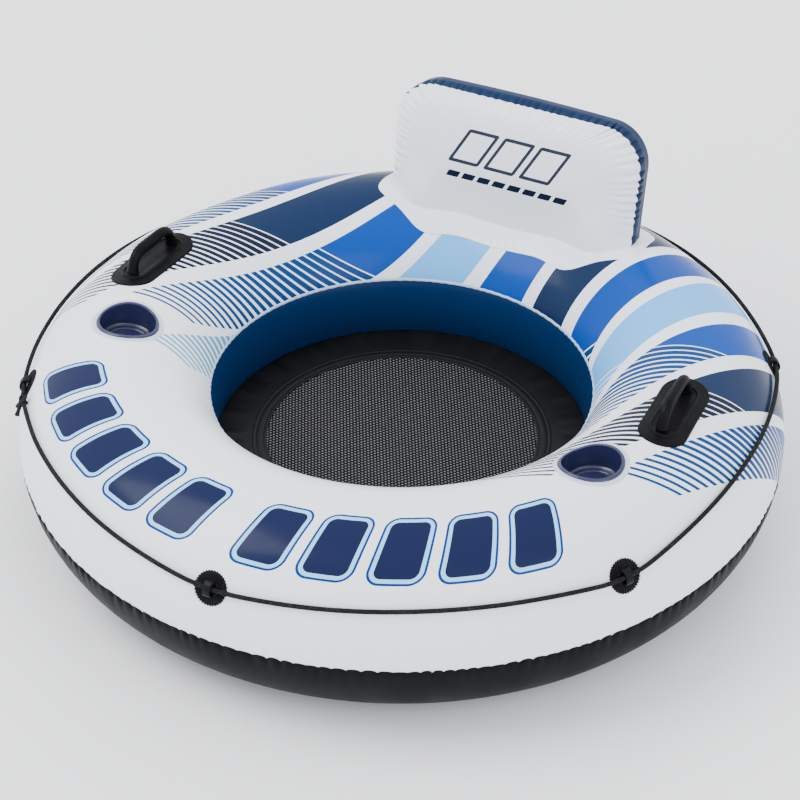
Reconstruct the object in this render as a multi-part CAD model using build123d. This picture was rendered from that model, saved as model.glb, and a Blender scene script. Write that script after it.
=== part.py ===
from build123d import *
import os
from math import acos, asin, cos, degrees, pi, radians, sin, sqrt, tan

# Inflatable lounge tube: a ring of welded film with a mesh seat floor, an inflated
# backrest, two cup holders, two handles and a grab rope in six rope holders.
# Millimetres. The origin is the centre of the ring on the ground, +Z is up,
# the front is towards -Y and the backrest stands at +Y.

os.makedirs("parts", exist_ok=True)

# Ring. Its section is a circle that flattens a little where it rests.
outer_radius = 675.0
section_radius = 174.5
ground_sink = 1.5
film = 1.2
outer_seam_height = 161.0
rim_seam_height = 236.0
floor_height = 124.5
seam_width = 8.0
# The inner wall is cut straight by this much where the seat well is narrowest.
well_relief = 0.1

# Seat floor
mesh_opening_radius = 242.0
border_outer_radius = 268.0
mesh_overlap = 20.0
mesh_thickness = 0.8

# Backrest. Its frame stands on the crown and leans back.
backrest_half_width = 246.0
backrest_top = 214.0
backrest_corner = 76.0
backrest_half_depth = 54.0
backrest_edge_round = 46.0
backrest_seam_depth = -16.0
backrest_lean = 10.0
backrest_inset = 42.5
backrest_gap = 12.0
backrest_root = 90.0
skirt_width = 24.0
backrest_sector = 100.0

# Cup holders
cup_bore_radius = 48.8
cup_depth = 42.0
cup_rim_width = 5.4
cup_rim_height = 3.5
cup_weld_width = 8.0
cup_inset = 19.5
cup_angle = -23.0
cup_sector = 24.0

# Handles
handle_outset = 9.5
handle_turn = 3.6
base_length = 195.0
base_width = 84.0
base_thickness = 3.5
lip_length = 152.0
lip_width = 52.0
lip_height = 2.5
lip_wall = 4.0
grip_radius = 9.5
grip_height = 40.0
grip_half_span = 60.0
grip_inset = 10.0
grip_corner = 24.0
foot_radius = 13.0
foot_height = 10.0
foot_inset = 2.0
foot_top_radius = 7.6
handle_sector = 32.0
crown_low = 60.0
crown_high = 120.0

# Rope holders: a round base with a bridge over the rope
holder_count = 6
holder_level = 28.2
holder_radius = 29.0
holder_thickness = 3.0
bridge_length = 13.0
bridge_width = 29.0
bridge_wall = 3.2
tunnel_width = 17.0
tunnel_height = 9.4
bridge_sink = 2.0
holder_sector = 12.0

# Grab rope
rope_diameter = 7.5
arc_share = 0.45
knot_radius = 8.5
knot_length = 24.0
knot_round = 5.1
# Each tail's turn to the side of straight down, and its length past the knot
knot_tails = [(-0.35, 26.0), (0.5, 20.8)]
tail_lift = 0.15

# Valves
valve_flange_radius = 22.0
valve_flange_thickness = 1.5
stem_radius = 9.0
stem_clearance = 0.1
stem_bore_radius = 6.0
stem_travel = 10.0
stem_rest_gap = 0.5
collar_wall = 2.4
collar_height = 3.0
collar_depth = 12.0
lip_radius = 10.6
lip_thickness = 2.5
stop_thickness = 1.6
stop_play = 0.4
cap_thickness = 2.5
cap_gap = 0.2
plug_radius = 5.85
plug_tip_radius = 5.2
plug_length = 4.7
strap_width = 5.0
strap_thickness = 1.6
tab_length = 7.0
tab_width = 8.0
weld_overlap = 1.0
hinge_offset = 13.9
flap_radius = 6.8
flap_thickness = 0.8
main_valve_angle = 78.0
main_valve_level = 55.0
backrest_valve_x = -110.0
backrest_valve_height = 70.0

ring_radius = outer_radius - section_radius
backrest_y = ring_radius - backrest_inset
cup_circle_radius = ring_radius - cup_inset
handle_circle_radius = ring_radius + handle_outset
axis_height = section_radius - ground_sink
seat_well_radius = ring_radius - section_radius + well_relief
stem_height = collar_height + stem_rest_gap + stem_travel + lip_thickness
# Reach of a cutting prism through the skin, and past the whole backrest
cutter = 60.0
clear = 400.0


def height_angle(height):
    """Angle above the horizontal, at the section's centre, of a height on the section."""
    return degrees(asin((height - axis_height) / section_radius))


outer_seam_angle = height_angle(outer_seam_height)
rim_seam_angle = 180 - height_angle(rim_seam_height)
floor_seam_angle = 180 - height_angle(floor_height)
floor_edge_radius = ring_radius - sqrt(section_radius**2 - (axis_height - floor_height) ** 2)


def section_point(radius, angle):
    """Point of the ring's section plane, from a radius and an angle at its centre."""
    x = ring_radius + radius * cos(radians(angle))
    return (x, axis_height + radius * sin(radians(angle)))


def turned(face, start, sweep):
    """Revolve a section face about the ring's axis, from one angle through a sweep."""
    return Rot(0, 0, start) * revolve(face, Axis.Z, sweep)


def ring_band(inner, outer, low, high, start=0.0, sweep=360.0):
    """Part of the ring between two section radii and two section angles."""
    middle = (low + high) / 2
    with BuildSketch(Plane.XZ) as face:
        with BuildLine():
            ThreePointArc(
                section_point(outer, low),
                section_point(outer, middle),
                section_point(outer, high),
            )
            Line(section_point(outer, high), section_point(inner, high))
            ThreePointArc(
                section_point(inner, high),
                section_point(inner, middle),
                section_point(inner, low),
            )
            Line(section_point(inner, low), section_point(outer, low))
        make_face()
    return turned(face.sketch, start, sweep)


def ring_core(radius, start=0.0, sweep=360.0):
    """The full round ring inside one section radius."""
    with BuildSketch(Plane.XZ) as face:
        with Locations((ring_radius, axis_height)):
            Circle(radius)
    return turned(face.sketch, start, sweep)


def surface_plane(angle, level, lift=0.0):
    """Plane on the ring's skin: X runs round the ring, Y runs up the skin, Z points out."""
    radial = Vector(cos(radians(angle)), sin(radians(angle)), 0)
    around = Vector(-sin(radians(angle)), cos(radians(angle)), 0)
    normal = radial * cos(radians(level)) + Vector(0, 0, sin(radians(level)))
    reach = section_radius + lift
    spot = radial * (ring_radius + reach * cos(radians(level)))
    spot = spot + Vector(0, 0, axis_height + reach * sin(radians(level)))
    return Plane(origin=spot, x_dir=around, z_dir=normal)


def skin_patch(plane, outline, thickness, angle, level):
    """A pad that follows the skin: the outline's prism cut from a band of the ring."""
    prism = extrude(plane * outline, cutter, both=True)
    reach = outline.bounding_box().diagonal / 2
    half_level = degrees(reach / section_radius)
    half_sweep = degrees(reach / (ring_radius - section_radius))
    band = ring_band(
        section_radius,
        section_radius + thickness,
        level - half_level,
        level + half_level,
        angle - half_sweep,
        2 * half_sweep,
    )
    return prism & band


def save(solid, node):
    """Write one node's solids."""
    export_step(solid, "parts/" + node + ".step")


def annulus(outer, inner):
    """Flat ring outline."""
    return Circle(outer) - Circle(inner)


# ---------------------------------------------------------------- cup holders

cup_wall_radius = cup_bore_radius + film
cup_level = degrees(acos((cup_circle_radius - ring_radius) / section_radius))


def make_cup(angle):
    """Moulded cup with its rim and floor, hung in a hole in the top sheet."""
    plane = surface_plane(angle, cup_level)
    tall = cup_depth + film + cutter
    outer = extrude(plane.offset(-cup_depth - film) * Circle(cup_wall_radius), tall)
    rim_core = ring_core(section_radius + cup_rim_height, angle - cup_sector / 2, cup_sector)
    bore = extrude(plane.offset(-cup_depth) * Circle(cup_bore_radius), tall)
    rim_outline = annulus(cup_wall_radius + cup_rim_width, cup_bore_radius)
    rim = skin_patch(plane, rim_outline, cup_rim_height, angle, cup_level)
    return ((outer & rim_core) - bore) + rim


def make_cup_weld(angle):
    """Thin weld flange round the cup's rim."""
    plane = surface_plane(angle, cup_level)
    edge = cup_wall_radius + cup_rim_width
    outline = annulus(edge + cup_weld_width, edge)
    return skin_patch(plane, outline, film / 2, angle, cup_level)


def cup_hole(angle):
    """Cutter for the top sheet where the cup passes."""
    plane = surface_plane(angle, cup_level)
    return extrude(plane * Circle(cup_wall_radius), cutter, both=True)


cup_angles = {"right": cup_angle, "left": 180 - cup_angle}
for side, angle in cup_angles.items():
    save(make_cup(angle), "cup_holder_" + side)
    save(make_cup_weld(angle), "cup_weld_" + side)

# ---------------------------------------------------------------- ring of film

collar_radius = stem_radius + stem_clearance + collar_wall
main_valve_plane = surface_plane(main_valve_angle, main_valve_level)


def make_top_sheet():
    """Upper film, from the outer seam over the crown to the rim seam."""
    inner = section_radius - film
    sheet = ring_band(inner, section_radius, outer_seam_angle, rim_seam_angle)
    for angle in cup_angles.values():
        sheet = sheet - cup_hole(angle)
    return sheet - extrude(main_valve_plane * Circle(collar_radius), cutter, both=True)


def make_bottom_sheet():
    """Lower film, with the flat band that the ring rests on."""
    inner = section_radius - film
    flat_angle = degrees(acos(axis_height / section_radius))
    inner_flat = degrees(acos((axis_height - film) / inner))
    low = floor_seam_angle
    high = 360 + outer_seam_angle
    with BuildSketch(Plane.XZ) as face:
        with BuildLine():
            near = 270 - flat_angle
            far = 270 + flat_angle
            ThreePointArc(
                section_point(section_radius, low),
                section_point(section_radius, (low + near) / 2),
                section_point(section_radius, near),
            )
            Line(section_point(section_radius, near), section_point(section_radius, far))
            ThreePointArc(
                section_point(section_radius, far),
                section_point(section_radius, (far + high) / 2),
                section_point(section_radius, high),
            )
            Line(section_point(section_radius, high), section_point(inner, high))
            near = 270 - inner_flat
            far = 270 + inner_flat
            ThreePointArc(
                section_point(inner, high),
                section_point(inner, (far + high) / 2),
                section_point(inner, far),
            )
            Line(section_point(inner, far), section_point(inner, near))
            ThreePointArc(
                section_point(inner, near),
                section_point(inner, (low + near) / 2),
                section_point(inner, low),
            )
            Line(section_point(inner, low), section_point(section_radius, low))
        make_face()
    return turned(face.sketch, 0, 360)


def make_seam_fin(angle):
    """Welded edge of two films, turned to the inside of the ring."""
    half_angle = degrees(film / section_radius)
    outer = section_radius - film
    return ring_band(outer - seam_width, outer, angle - half_angle, angle + half_angle)


def make_inner_wall():
    """Inner film of the seat well, from the rim seam down to the floor seam."""
    inner = section_radius - film
    wall = ring_band(inner, section_radius, rim_seam_angle, floor_seam_angle)
    return wall - Pos(0, 0, axis_height) * Cylinder(seat_well_radius, cutter)


save(make_top_sheet(), "top_sheet")
save(make_bottom_sheet(), "bottom_sheet")
save(make_inner_wall(), "inner_wall")
save(make_seam_fin(outer_seam_angle), "outer_seam")
save(make_seam_fin(rim_seam_angle), "rim_seam")
save(make_seam_fin(floor_seam_angle), "floor_seam")

# ---------------------------------------------------------------- seat floor

floor_bottom = floor_height - film
floor_outline = annulus(floor_edge_radius, mesh_opening_radius)
seat_floor = extrude(Plane.XY.offset(floor_bottom) * floor_outline, film)
border_outline = annulus(border_outer_radius, mesh_opening_radius)
mesh_border = extrude(Plane.XY.offset(floor_height) * border_outline, film)
mesh_plane = Plane.XY.offset(floor_bottom - mesh_thickness)
mesh_panel = extrude(mesh_plane * Circle(mesh_opening_radius + mesh_overlap), mesh_thickness)
save(seat_floor, "seat_floor")
save(mesh_border, "mesh_border")
save(mesh_panel, "mesh_panel")

# ---------------------------------------------------------------- backrest

lean = radians(backrest_lean)
backrest_plane = Plane(
    origin=(0, backrest_y, axis_height + section_radius),
    x_dir=(1, 0, 0),
    z_dir=(0, -cos(lean), sin(lean)),
)


def rounded_top(half_width, top, corner):
    """Upright outline with two round upper corners, down to the root line."""
    height = top + backrest_root
    outline = Pos(0, top - height / 2) * Rectangle(2 * half_width, height)
    upper = outline.vertices().sort_by(Axis.Y)[-2:]
    return fillet(upper, corner)


def pillow(inset):
    """Closed form of the backrest, inset all round: three crossed prisms above the ring."""
    half_width = backrest_half_width - inset
    depth = backrest_half_depth - inset
    edge = backrest_edge_round - inset
    top = backrest_top - inset
    height = top + backrest_root
    front = rounded_top(half_width, top, backrest_corner - inset)
    body = extrude(backrest_plane * front, clear / 2, both=True)
    side_plane = Plane(
        origin=backrest_plane.origin,
        x_dir=backrest_plane.z_dir,
        z_dir=(1, 0, 0),
    )
    side_up = side_plane.y_dir.dot(backrest_plane.y_dir)
    side = Pos(0, side_up * (top - height / 2)) * Rectangle(2 * depth, height)
    ends = side.vertices().sort_by(Axis.Y)
    ends = ends[-2:] if side_up > 0 else ends[:2]
    side = fillet(ends, edge)
    body = body & extrude(side_plane * side, clear, both=True)
    plan = RectangleRounded(2 * half_width, 2 * depth, edge)
    plan_plane = Plane(
        origin=backrest_plane.origin,
        x_dir=(1, 0, 0),
        z_dir=backrest_plane.y_dir,
    )
    body = body & extrude(plan_plane * plan, clear, both=True)
    below = section_radius + backrest_gap + inset
    return body - ring_core(below, 90 - backrest_sector / 2, backrest_sector)


def behind_seam(offset=0.0):
    """Half space behind the backrest's seam, moved forward by an offset."""
    start = backrest_plane.offset(-backrest_seam_depth + offset)
    return extrude(start * Rectangle(2 * clear, 2 * clear), -clear)


backrest_outer = pillow(0.0)
backrest_inner = pillow(film)
backrest_film = backrest_outer - backrest_inner
rear_space = behind_seam()
backrest_valve_plane = Plane(
    origin=backrest_plane.origin
    + backrest_plane.x_dir * backrest_valve_x
    + backrest_plane.y_dir * backrest_valve_height
    - backrest_plane.z_dir * backrest_half_depth,
    x_dir=backrest_plane.y_dir * -1,
    z_dir=backrest_plane.z_dir * -1,
)
valve_hole = extrude(backrest_valve_plane * Circle(collar_radius), collar_depth, both=True)
backrest_front = backrest_film - rear_space
backrest_shell = (backrest_film & rear_space) - valve_hole
fin_space = behind_seam(film) - behind_seam(-film)
backrest_seam = (backrest_inner - pillow(film + seam_width)) & fin_space


def make_skirt():
    """Weld flange of the backrest on the ring, a frame round the backrest's foot."""
    foot = RectangleRounded(
        2 * (backrest_half_width + skirt_width),
        2 * (backrest_half_depth + skirt_width),
        backrest_edge_round + skirt_width,
    )
    hole = RectangleRounded(
        2 * (backrest_half_width - skirt_width),
        2 * (backrest_half_depth - skirt_width),
        backrest_edge_round - skirt_width,
    )
    prism = extrude(Pos(0, backrest_y, 0) * (foot - hole), clear)
    low = 90 - backrest_sector / 2
    high = 90 + backrest_sector / 2
    top = section_radius + film
    band = ring_band(section_radius, top, low, high, low, backrest_sector)
    return prism & band


save(backrest_front, "backrest_front")
save(backrest_shell, "backrest_shell")
save(backrest_seam, "backrest_seam")
save(make_skirt(), "backrest_skirt")

# ---------------------------------------------------------------- handles


def handle_plane(side):
    """Level plane at the crown under one handle: X across the grip, Y along it."""
    along = Vector(-side * sin(radians(handle_turn)), cos(radians(handle_turn)), 0)
    across = Vector(along.Y, -along.X, 0)
    spot = (side * handle_circle_radius, 0, axis_height + section_radius)
    return Plane(origin=spot, x_dir=across, z_dir=(0, 0, 1))


def crown_band(side, bottom, top):
    """Band of the crown at one handle, between two lifts above the skin."""
    middle = 0 if side > 0 else 180
    inner = section_radius + bottom
    outer = section_radius + top
    start = middle - handle_sector / 2
    return ring_band(inner, outer, crown_low, crown_high, start, handle_sector)


def crown_pad(plane, outline, thickness, side):
    """Pad on the crown under a handle, of one thickness."""
    prism = extrude(plane * outline, cutter, both=True)
    return prism & crown_band(side, 0, thickness)


def stadium(length, width):
    """Outline with two half-round ends, long along Y."""
    return SlotOverall(length, width, rotation=90)


def make_handle_base(side):
    """Welded base plate with its raised oval lip."""
    plane = handle_plane(side)
    plate = crown_pad(plane, stadium(base_length, base_width), base_thickness, side)
    ring = stadium(lip_length, lip_width)
    ring = ring - stadium(lip_length - 2 * lip_wall, lip_width - 2 * lip_wall)
    return plate + crown_pad(plane, ring, base_thickness + lip_height, side)


def make_grip(side):
    """Arched bar standing on the base plate, with a flared foot at each end."""
    plane = handle_plane(side)
    upright = Plane(origin=plane.origin, x_dir=plane.y_dir, z_dir=plane.x_dir)
    shoulder = grip_half_span - grip_inset
    low = -foot_height
    path_points = [
        (-grip_half_span, low),
        (-shoulder, grip_height),
        (shoulder, grip_height),
        (grip_half_span, low),
    ]
    path = upright * FilletPolyline(*path_points, radius=grip_corner)
    section = Plane(origin=path @ 0, z_dir=path % 0) * Circle(grip_radius)
    bar = sweep(section, path=path)
    for end in (-1, 1):
        spot = plane.origin + plane.y_dir * (end * (grip_half_span - foot_inset))
        foot = Plane(origin=spot, x_dir=plane.x_dir, z_dir=(0, 0, 1)).offset(low)
        tall = foot_height + base_thickness + foot_height
        cone = Pos(0, 0, tall / 2) * Cone(foot_radius, foot_top_radius, tall)
        bar = bar + foot * cone
    return bar & crown_band(side, base_thickness, 2 * grip_height)


for side_name, side in (("right", 1), ("left", -1)):
    save(make_handle_base(side), "handle_base_" + side_name)
    save(make_grip(side), "handle_grip_" + side_name)

# ---------------------------------------------------------------- rope holders

holder_names = ["front", "front_right", "rear_right", "rear", "rear_left", "front_left"]
holder_angles = [-90 + k * 360 / holder_count for k in range(holder_count)]


def make_rope_holder(angle):
    """Round welded base with a bridge that the rope runs under."""
    plane = surface_plane(angle, holder_level)
    base = skin_patch(plane, Circle(holder_radius), holder_thickness, angle, holder_level)
    tunnel_top = holder_thickness + tunnel_height
    height = tunnel_top + bridge_wall
    end_plane = Plane(origin=plane.origin, x_dir=plane.y_dir, z_dir=plane.x_dir)
    outside = Pos(0, height / 2 - bridge_sink)
    outside = outside * Rectangle(bridge_width, height + 2 * bridge_sink)
    outside = fillet(outside.vertices().sort_by(Axis.Y)[-2:], tunnel_height / 2 + bridge_wall)
    inside = Pos(0, tunnel_top / 2 - bridge_sink)
    inside = inside * Rectangle(tunnel_width, tunnel_top + 2 * bridge_sink)
    inside = fillet(inside.vertices().sort_by(Axis.Y)[-2:], tunnel_height / 2)
    bridge = extrude(end_plane * (outside - inside), bridge_length / 2, both=True)
    below = ring_core(section_radius, angle - holder_sector / 2, holder_sector)
    return base + (bridge - below)


for name, angle in zip(holder_names, holder_angles):
    save(make_rope_holder(angle), "rope_holder_" + name)

# ---------------------------------------------------------------- grab rope

# Route of the rope, from one side of the knot round the ring to the other: at each
# point, the angle round the ring, the level up the skin and the lift off the skin.
# The lift is larger where a rope holder's base lies under the rope.
rope_route = [
    (-143.6, 30.0, 9.5), (-139, 31.0, 8), (-132, 32.0, 8), (-122, 32.6, 8),
    (-111, 31.6, 8), (-100, 30.0, 8), (-90, 27.6, 11), (-80, 29.6, 8),
    (-70, 31.0, 8), (-60, 31.8, 8), (-50, 31.4, 8), (-40, 30.0, 8),
    (-30, 26.6, 11), (-20, 33.0, 8), (-10, 36.8, 8), (0, 38.2, 8),
    (10, 37.0, 8), (20, 33.2, 8), (30, 26.4, 11), (40, 31.6, 8),
    (50, 34.2, 8), (60, 35.0, 8), (70, 33.8, 8), (80, 31.2, 8),
    (90, 27.2, 11), (100, 31.0, 8), (110, 33.6, 8), (120, 34.8, 8),
    (130, 34.0, 8), (140, 31.6, 8), (150, 26.9, 11), (160, 31.8, 8),
    (170, 34.4, 8), (180, 35.2, 8), (190, 33.6, 8), (199, 31.2, 8),
    (205, 29.6, 8), (210, 27.9, 8.4), (213.4, 28.8, 9.5),
]


def arc_radii(points):
    """Even arc at each corner, as large as a share of its shorter run allows."""
    radii = []
    for before, corner, after in zip(points, points[1:], points[2:]):
        first = corner - before
        second = after - corner
        turn = radians(first.get_angle(second))
        radii.append(arc_share * min(first.length, second.length) / tan(turn / 2))
    return radii


rope_points = [surface_plane(*stop).origin for stop in rope_route]
rope_radii = arc_radii(rope_points)
rope_path = FilletPolyline(*rope_points, radius=rope_radii)
rope_section = Plane(origin=rope_path @ 0, z_dir=rope_path % 0) * Circle(rope_diameter / 2)
grab_rope = sweep(rope_section, path=rope_path)
rope_volume = pi * rope_diameter**2 / 4 * rope_path.length
print("rope length", round(rope_path.length), "smallest arc", round(min(rope_radii)))
print("rope volume share", grab_rope.volume / rope_volume)
save(grab_rope, "grab_rope")


def make_knot():
    """Tight knot that joins the rope's two ends, with two short tails."""
    first = rope_points[0]
    last = rope_points[-1]
    along = (last - first).normalized()
    centre = (first + last) * 0.5
    body_plane = Plane(origin=centre - along * (knot_length / 2), z_dir=along)
    body = extrude(body_plane * Circle(knot_radius), knot_length)
    body = fillet(body.edges(), knot_round)
    local = surface_plane((rope_route[0][0] + rope_route[-1][0] - 360) / 2, holder_level)
    for turn, reach in knot_tails:
        way = local.z_dir * tail_lift + local.x_dir * turn - local.y_dir
        start = Plane(origin=centre, z_dir=way.normalized())
        body = body + extrude(start * Circle(rope_diameter / 2), knot_radius + reach)
    return body


save(make_knot(), "rope_knot")

# ---------------------------------------------------------------- valves


def tube(outer, inner, low, high):
    """Upright tube between two heights."""
    return Pos(0, 0, low) * extrude(annulus(outer, inner), high - low)


def make_stem():
    """Push-in stem: a tube with an outer lip, a tether lug and an inner stop."""
    bottom = -collar_depth - stop_play - stop_thickness
    stem = tube(stem_radius, stem_bore_radius, bottom, stem_height)
    stem = stem + tube(lip_radius, stem_bore_radius, stem_height - lip_thickness, stem_height)
    stem = stem + tube(lip_radius, stem_bore_radius, bottom, bottom + stop_thickness)
    lug_reach = hinge_offset - cap_gap * 2
    lug_x = -(lip_radius - weld_overlap + lug_reach) / 2
    lug = Box(lug_reach - lip_radius + weld_overlap, strap_width, strap_thickness)
    return stem + Pos(lug_x, 0, stem_height - strap_thickness / 2 - cap_gap) * lug


def make_cap():
    """Cap with its tapered plug, pull tab and tether strap."""
    low = stem_height + cap_gap
    cap = Pos(0, 0, low) * extrude(Circle(lip_radius), cap_thickness)
    plug = Cone(plug_tip_radius, plug_radius, plug_length)
    cap = cap + Pos(0, 0, low - plug_length / 2) * plug
    middle = low + cap_thickness / 2
    tab_reach = lip_radius + tab_length
    tab_x = (lip_radius - weld_overlap + tab_reach) / 2
    tab = Box(tab_length + weld_overlap, tab_width, strap_thickness)
    tab = Pos(tab_x, 0, middle) * tab
    strap_run = hinge_offset - lip_radius + weld_overlap
    strap_x = -(lip_radius - weld_overlap + hinge_offset) / 2
    strap = Pos(strap_x, 0, middle) * Box(strap_run, strap_width, strap_thickness)
    return cap + tab + strap


def make_flap():
    """Non-return flap under the stem's bore."""
    top = -collar_depth - 2 * stop_play - stop_thickness
    return Pos(0, 0, top - flap_thickness) * extrude(Circle(flap_radius), flap_thickness)


def make_collar():
    """Collar that guides the stem through the film."""
    bore = stem_radius + stem_clearance
    return tube(collar_radius, bore, -collar_depth, collar_height)


flange_outline = annulus(valve_flange_radius, collar_radius)
main_flange = skin_patch(
    main_valve_plane,
    flange_outline,
    valve_flange_thickness,
    main_valve_angle,
    main_valve_level,
)
flat_flange = extrude(backrest_valve_plane * flange_outline, valve_flange_thickness)
for prefix, plane, flange in (
    ("main_valve_", main_valve_plane, main_flange),
    ("backrest_valve_", backrest_valve_plane, flat_flange),
):
    save(flange + plane * make_collar(), prefix + "seat")
    save(plane * make_stem(), prefix + "stem")
    save(plane * make_cap(), prefix + "cap")
    save(plane * make_flap(), prefix + "flap")
    print(prefix, "origin", plane.origin, "out", plane.z_dir)
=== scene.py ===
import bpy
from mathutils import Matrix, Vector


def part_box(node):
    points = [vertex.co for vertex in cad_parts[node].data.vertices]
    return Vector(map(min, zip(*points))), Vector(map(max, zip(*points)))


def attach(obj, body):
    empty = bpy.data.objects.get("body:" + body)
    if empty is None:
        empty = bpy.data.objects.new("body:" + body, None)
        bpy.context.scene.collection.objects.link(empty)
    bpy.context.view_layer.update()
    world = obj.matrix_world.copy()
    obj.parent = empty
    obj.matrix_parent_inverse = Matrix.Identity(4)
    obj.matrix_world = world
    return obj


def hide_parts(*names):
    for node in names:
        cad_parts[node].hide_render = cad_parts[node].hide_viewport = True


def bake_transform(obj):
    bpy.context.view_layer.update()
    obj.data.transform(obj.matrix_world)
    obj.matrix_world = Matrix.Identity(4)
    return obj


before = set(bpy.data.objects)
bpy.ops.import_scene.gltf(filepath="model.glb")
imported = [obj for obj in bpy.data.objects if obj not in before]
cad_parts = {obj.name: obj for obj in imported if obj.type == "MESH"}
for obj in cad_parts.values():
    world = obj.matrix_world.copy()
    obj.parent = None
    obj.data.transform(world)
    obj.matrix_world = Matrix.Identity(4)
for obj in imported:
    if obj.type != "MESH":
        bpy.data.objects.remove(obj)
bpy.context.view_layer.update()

# %% [markdown]
# # Inflatable lounge tube
# A ring of welded film, a backrest, a mesh seat floor, two cup holders, two handles
# and a grab rope. Everything is in metres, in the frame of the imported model: the origin
# is the centre of the ring on the ground, +Z is up and the front is towards -Y.

# %% Tools
from math import acos, asin, cos, degrees, pi, radians, sin

import bmesh
import bpy
import numpy as np
from mathutils import Vector

scene = bpy.context.scene

# %% [markdown]
# ## The ring as a formula
# Nearly every piece lies on the ring's skin, so the ring is kept as a function: an angle
# round the ring and a level up its round section give a point. A mesh copied from the
# CAD would have uneven triangles, and film shows every one of them in its highlights.
# With a formula, each piece gets even rows of faces, and its detail is added to the
# point's lift off the skin.

# %% Ring formula
OUTER_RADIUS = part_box("top_sheet")[1][0]
CROWN_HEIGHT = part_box("top_sheet")[1][2]
SECTION_RADIUS = 0.1745
RING_RADIUS = OUTER_RADIUS - SECTION_RADIUS
AXIS_HEIGHT = CROWN_HEIGHT - SECTION_RADIUS
FLOOR_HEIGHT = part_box("seat_floor")[1][2]
OUTER_SEAM = asin((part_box("top_sheet")[0][2] - AXIS_HEIGHT) / SECTION_RADIUS)
RIM_SEAM = pi - asin((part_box("inner_wall")[1][2] - AXIS_HEIGHT) / SECTION_RADIUS)
FLOOR_SEAM = pi - asin((FLOOR_HEIGHT - AXIS_HEIGHT) / SECTION_RADIUS)
print("ring radius", round(RING_RADIUS, 4), "section radius", SECTION_RADIUS)


def on_ring(angle, level, lift=0.0):
    """Points of the ring: centre circle plus (section radius + lift) turned up by the level."""
    reach = SECTION_RADIUS + lift
    radius = RING_RADIUS + reach * np.cos(level)
    height = AXIS_HEIGHT + reach * np.sin(level)
    spots = np.broadcast_arrays(radius * np.cos(angle), radius * np.sin(angle), height)
    return np.stack(spots, axis=-1)


def skin_frame(angle, level):
    """Frame on the skin: rows are round the ring, up the skin and outward, then the origin."""
    around = np.array([-sin(angle), cos(angle), 0.0])
    out = np.array([cos(angle) * cos(level), sin(angle) * cos(level), sin(level)])
    return around, np.cross(out, around), out, on_ring(angle, level)


NEWTON_STEPS = 6


def skin_height(frame_axes, x, y):
    """Height of the skin over a frame's plane: Newton steps on the ring's distance formula."""
    across, along, out, origin = frame_axes
    height = np.zeros(np.broadcast(x, y).shape)
    flat = origin + x[..., None] * across + y[..., None] * along
    for _ in range(NEWTON_STEPS):
        p = flat + height[..., None] * out
        radius = np.hypot(p[..., 0], p[..., 1])
        beyond, above = radius - RING_RADIUS, p[..., 2] - AXIS_HEIGHT
        distance = np.hypot(beyond, above)
        ratio = beyond / distance / radius
        slope = ratio * (p[..., 0] * out[0] + p[..., 1] * out[1]) + above / distance * out[2]
        height = height - (distance - SECTION_RADIUS) / slope
    return height


def placed(frame_axes, x, y, z):
    """Points from a frame's own coordinates."""
    across, along, out, origin = frame_axes
    x, y, z = np.broadcast_arrays(x, y, z)
    return origin + x[..., None] * across + y[..., None] * along + z[..., None] * out


# %% [markdown]
# ## Grids
# One helper turns a grid of points into a piece. The grid may close on itself either
# way, and faces can be left out, such as at the cup holders. UV values are given at the
# grid's corners, so a closed grid has one more column of them than of points.

# %% Grid helper
def new_object(name, mesh, *materials):
    """Link a mesh as an object at the origin, smooth, with its materials."""
    for material in materials:
        mesh.materials.append(material)
    mesh.shade_smooth()
    piece = bpy.data.objects.new(name, mesh)
    scene.collection.objects.link(piece)
    return piece


def on_tube(piece, slot, *nodes):
    """Carry a piece on the ring's body, in place of CAD nodes; the slot is not used."""
    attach(piece, "tube")
    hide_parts(*nodes)


def grid_mesh(name, points, close_u=False, close_v=False, flip=False, uvs=None, keep=None):
    """Quads between neighbouring points of a grid, with per-corner UV layers."""
    count_u, count_v = points.shape[:2]
    rows_u = np.arange(count_u - (not close_u))
    rows_v = np.arange(count_v - (not close_v))
    u, v = (axis.ravel() for axis in np.meshgrid(rows_u, rows_v, indexing="ij"))
    if keep is not None:
        u, v = u[keep.ravel()], v[keep.ravel()]
    corners = [(u, v), (u + 1, v), (u + 1, v + 1), (u, v + 1)]
    if flip:
        corners.reverse()
    faces = np.stack([(a % count_u) * count_v + b % count_v for a, b in corners], axis=-1)
    used, faces = np.unique(faces, return_inverse=True)
    mesh = bpy.data.meshes.new(name)
    mesh.from_pydata(points.reshape(-1, 3)[used], [], faces.reshape(-1, 4))
    for layer, table in (uvs or {}).items():
        values = np.stack([table[a, b] for a, b in corners], axis=1)
        mesh.uv_layers.new(name=layer).data.foreach_set("uv", values.ravel())
    return mesh


def unit_uv(count_u, count_v):
    """UV corners that fill the unit square."""
    u, v = np.meshgrid(np.linspace(0, 1, count_u), np.linspace(0, 1, count_v), indexing="ij")
    return np.stack([u, v], axis=-1)


# %% Mesh helpers
def vertex_places(mesh):
    """Places of a mesh's points, one row each."""
    found = np.empty(len(mesh.vertices) * 3)
    mesh.vertices.foreach_get("co", found)
    return found.reshape(-1, 3)


def weld(mesh, distance=1e-5):
    """Join points that lie on each other, such as at a pole."""
    work = bmesh.new()
    work.from_mesh(mesh)
    bmesh.ops.remove_doubles(work, verts=work.verts, dist=distance)
    bmesh.ops.dissolve_degenerate(work, edges=work.edges, dist=distance / 10)
    work.to_mesh(mesh)
    work.free()
    return mesh


def smoothstep(value, low, high):
    """0 below low, 1 above high, smooth between."""
    share = np.clip((value - low) / (high - low), 0, 1)
    return share * share * (3 - 2 * share)


def peak(value, width):
    """1 where the value is nothing, falling off as a bell of the given width."""
    return np.exp(-((value / width) ** 2))


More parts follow.
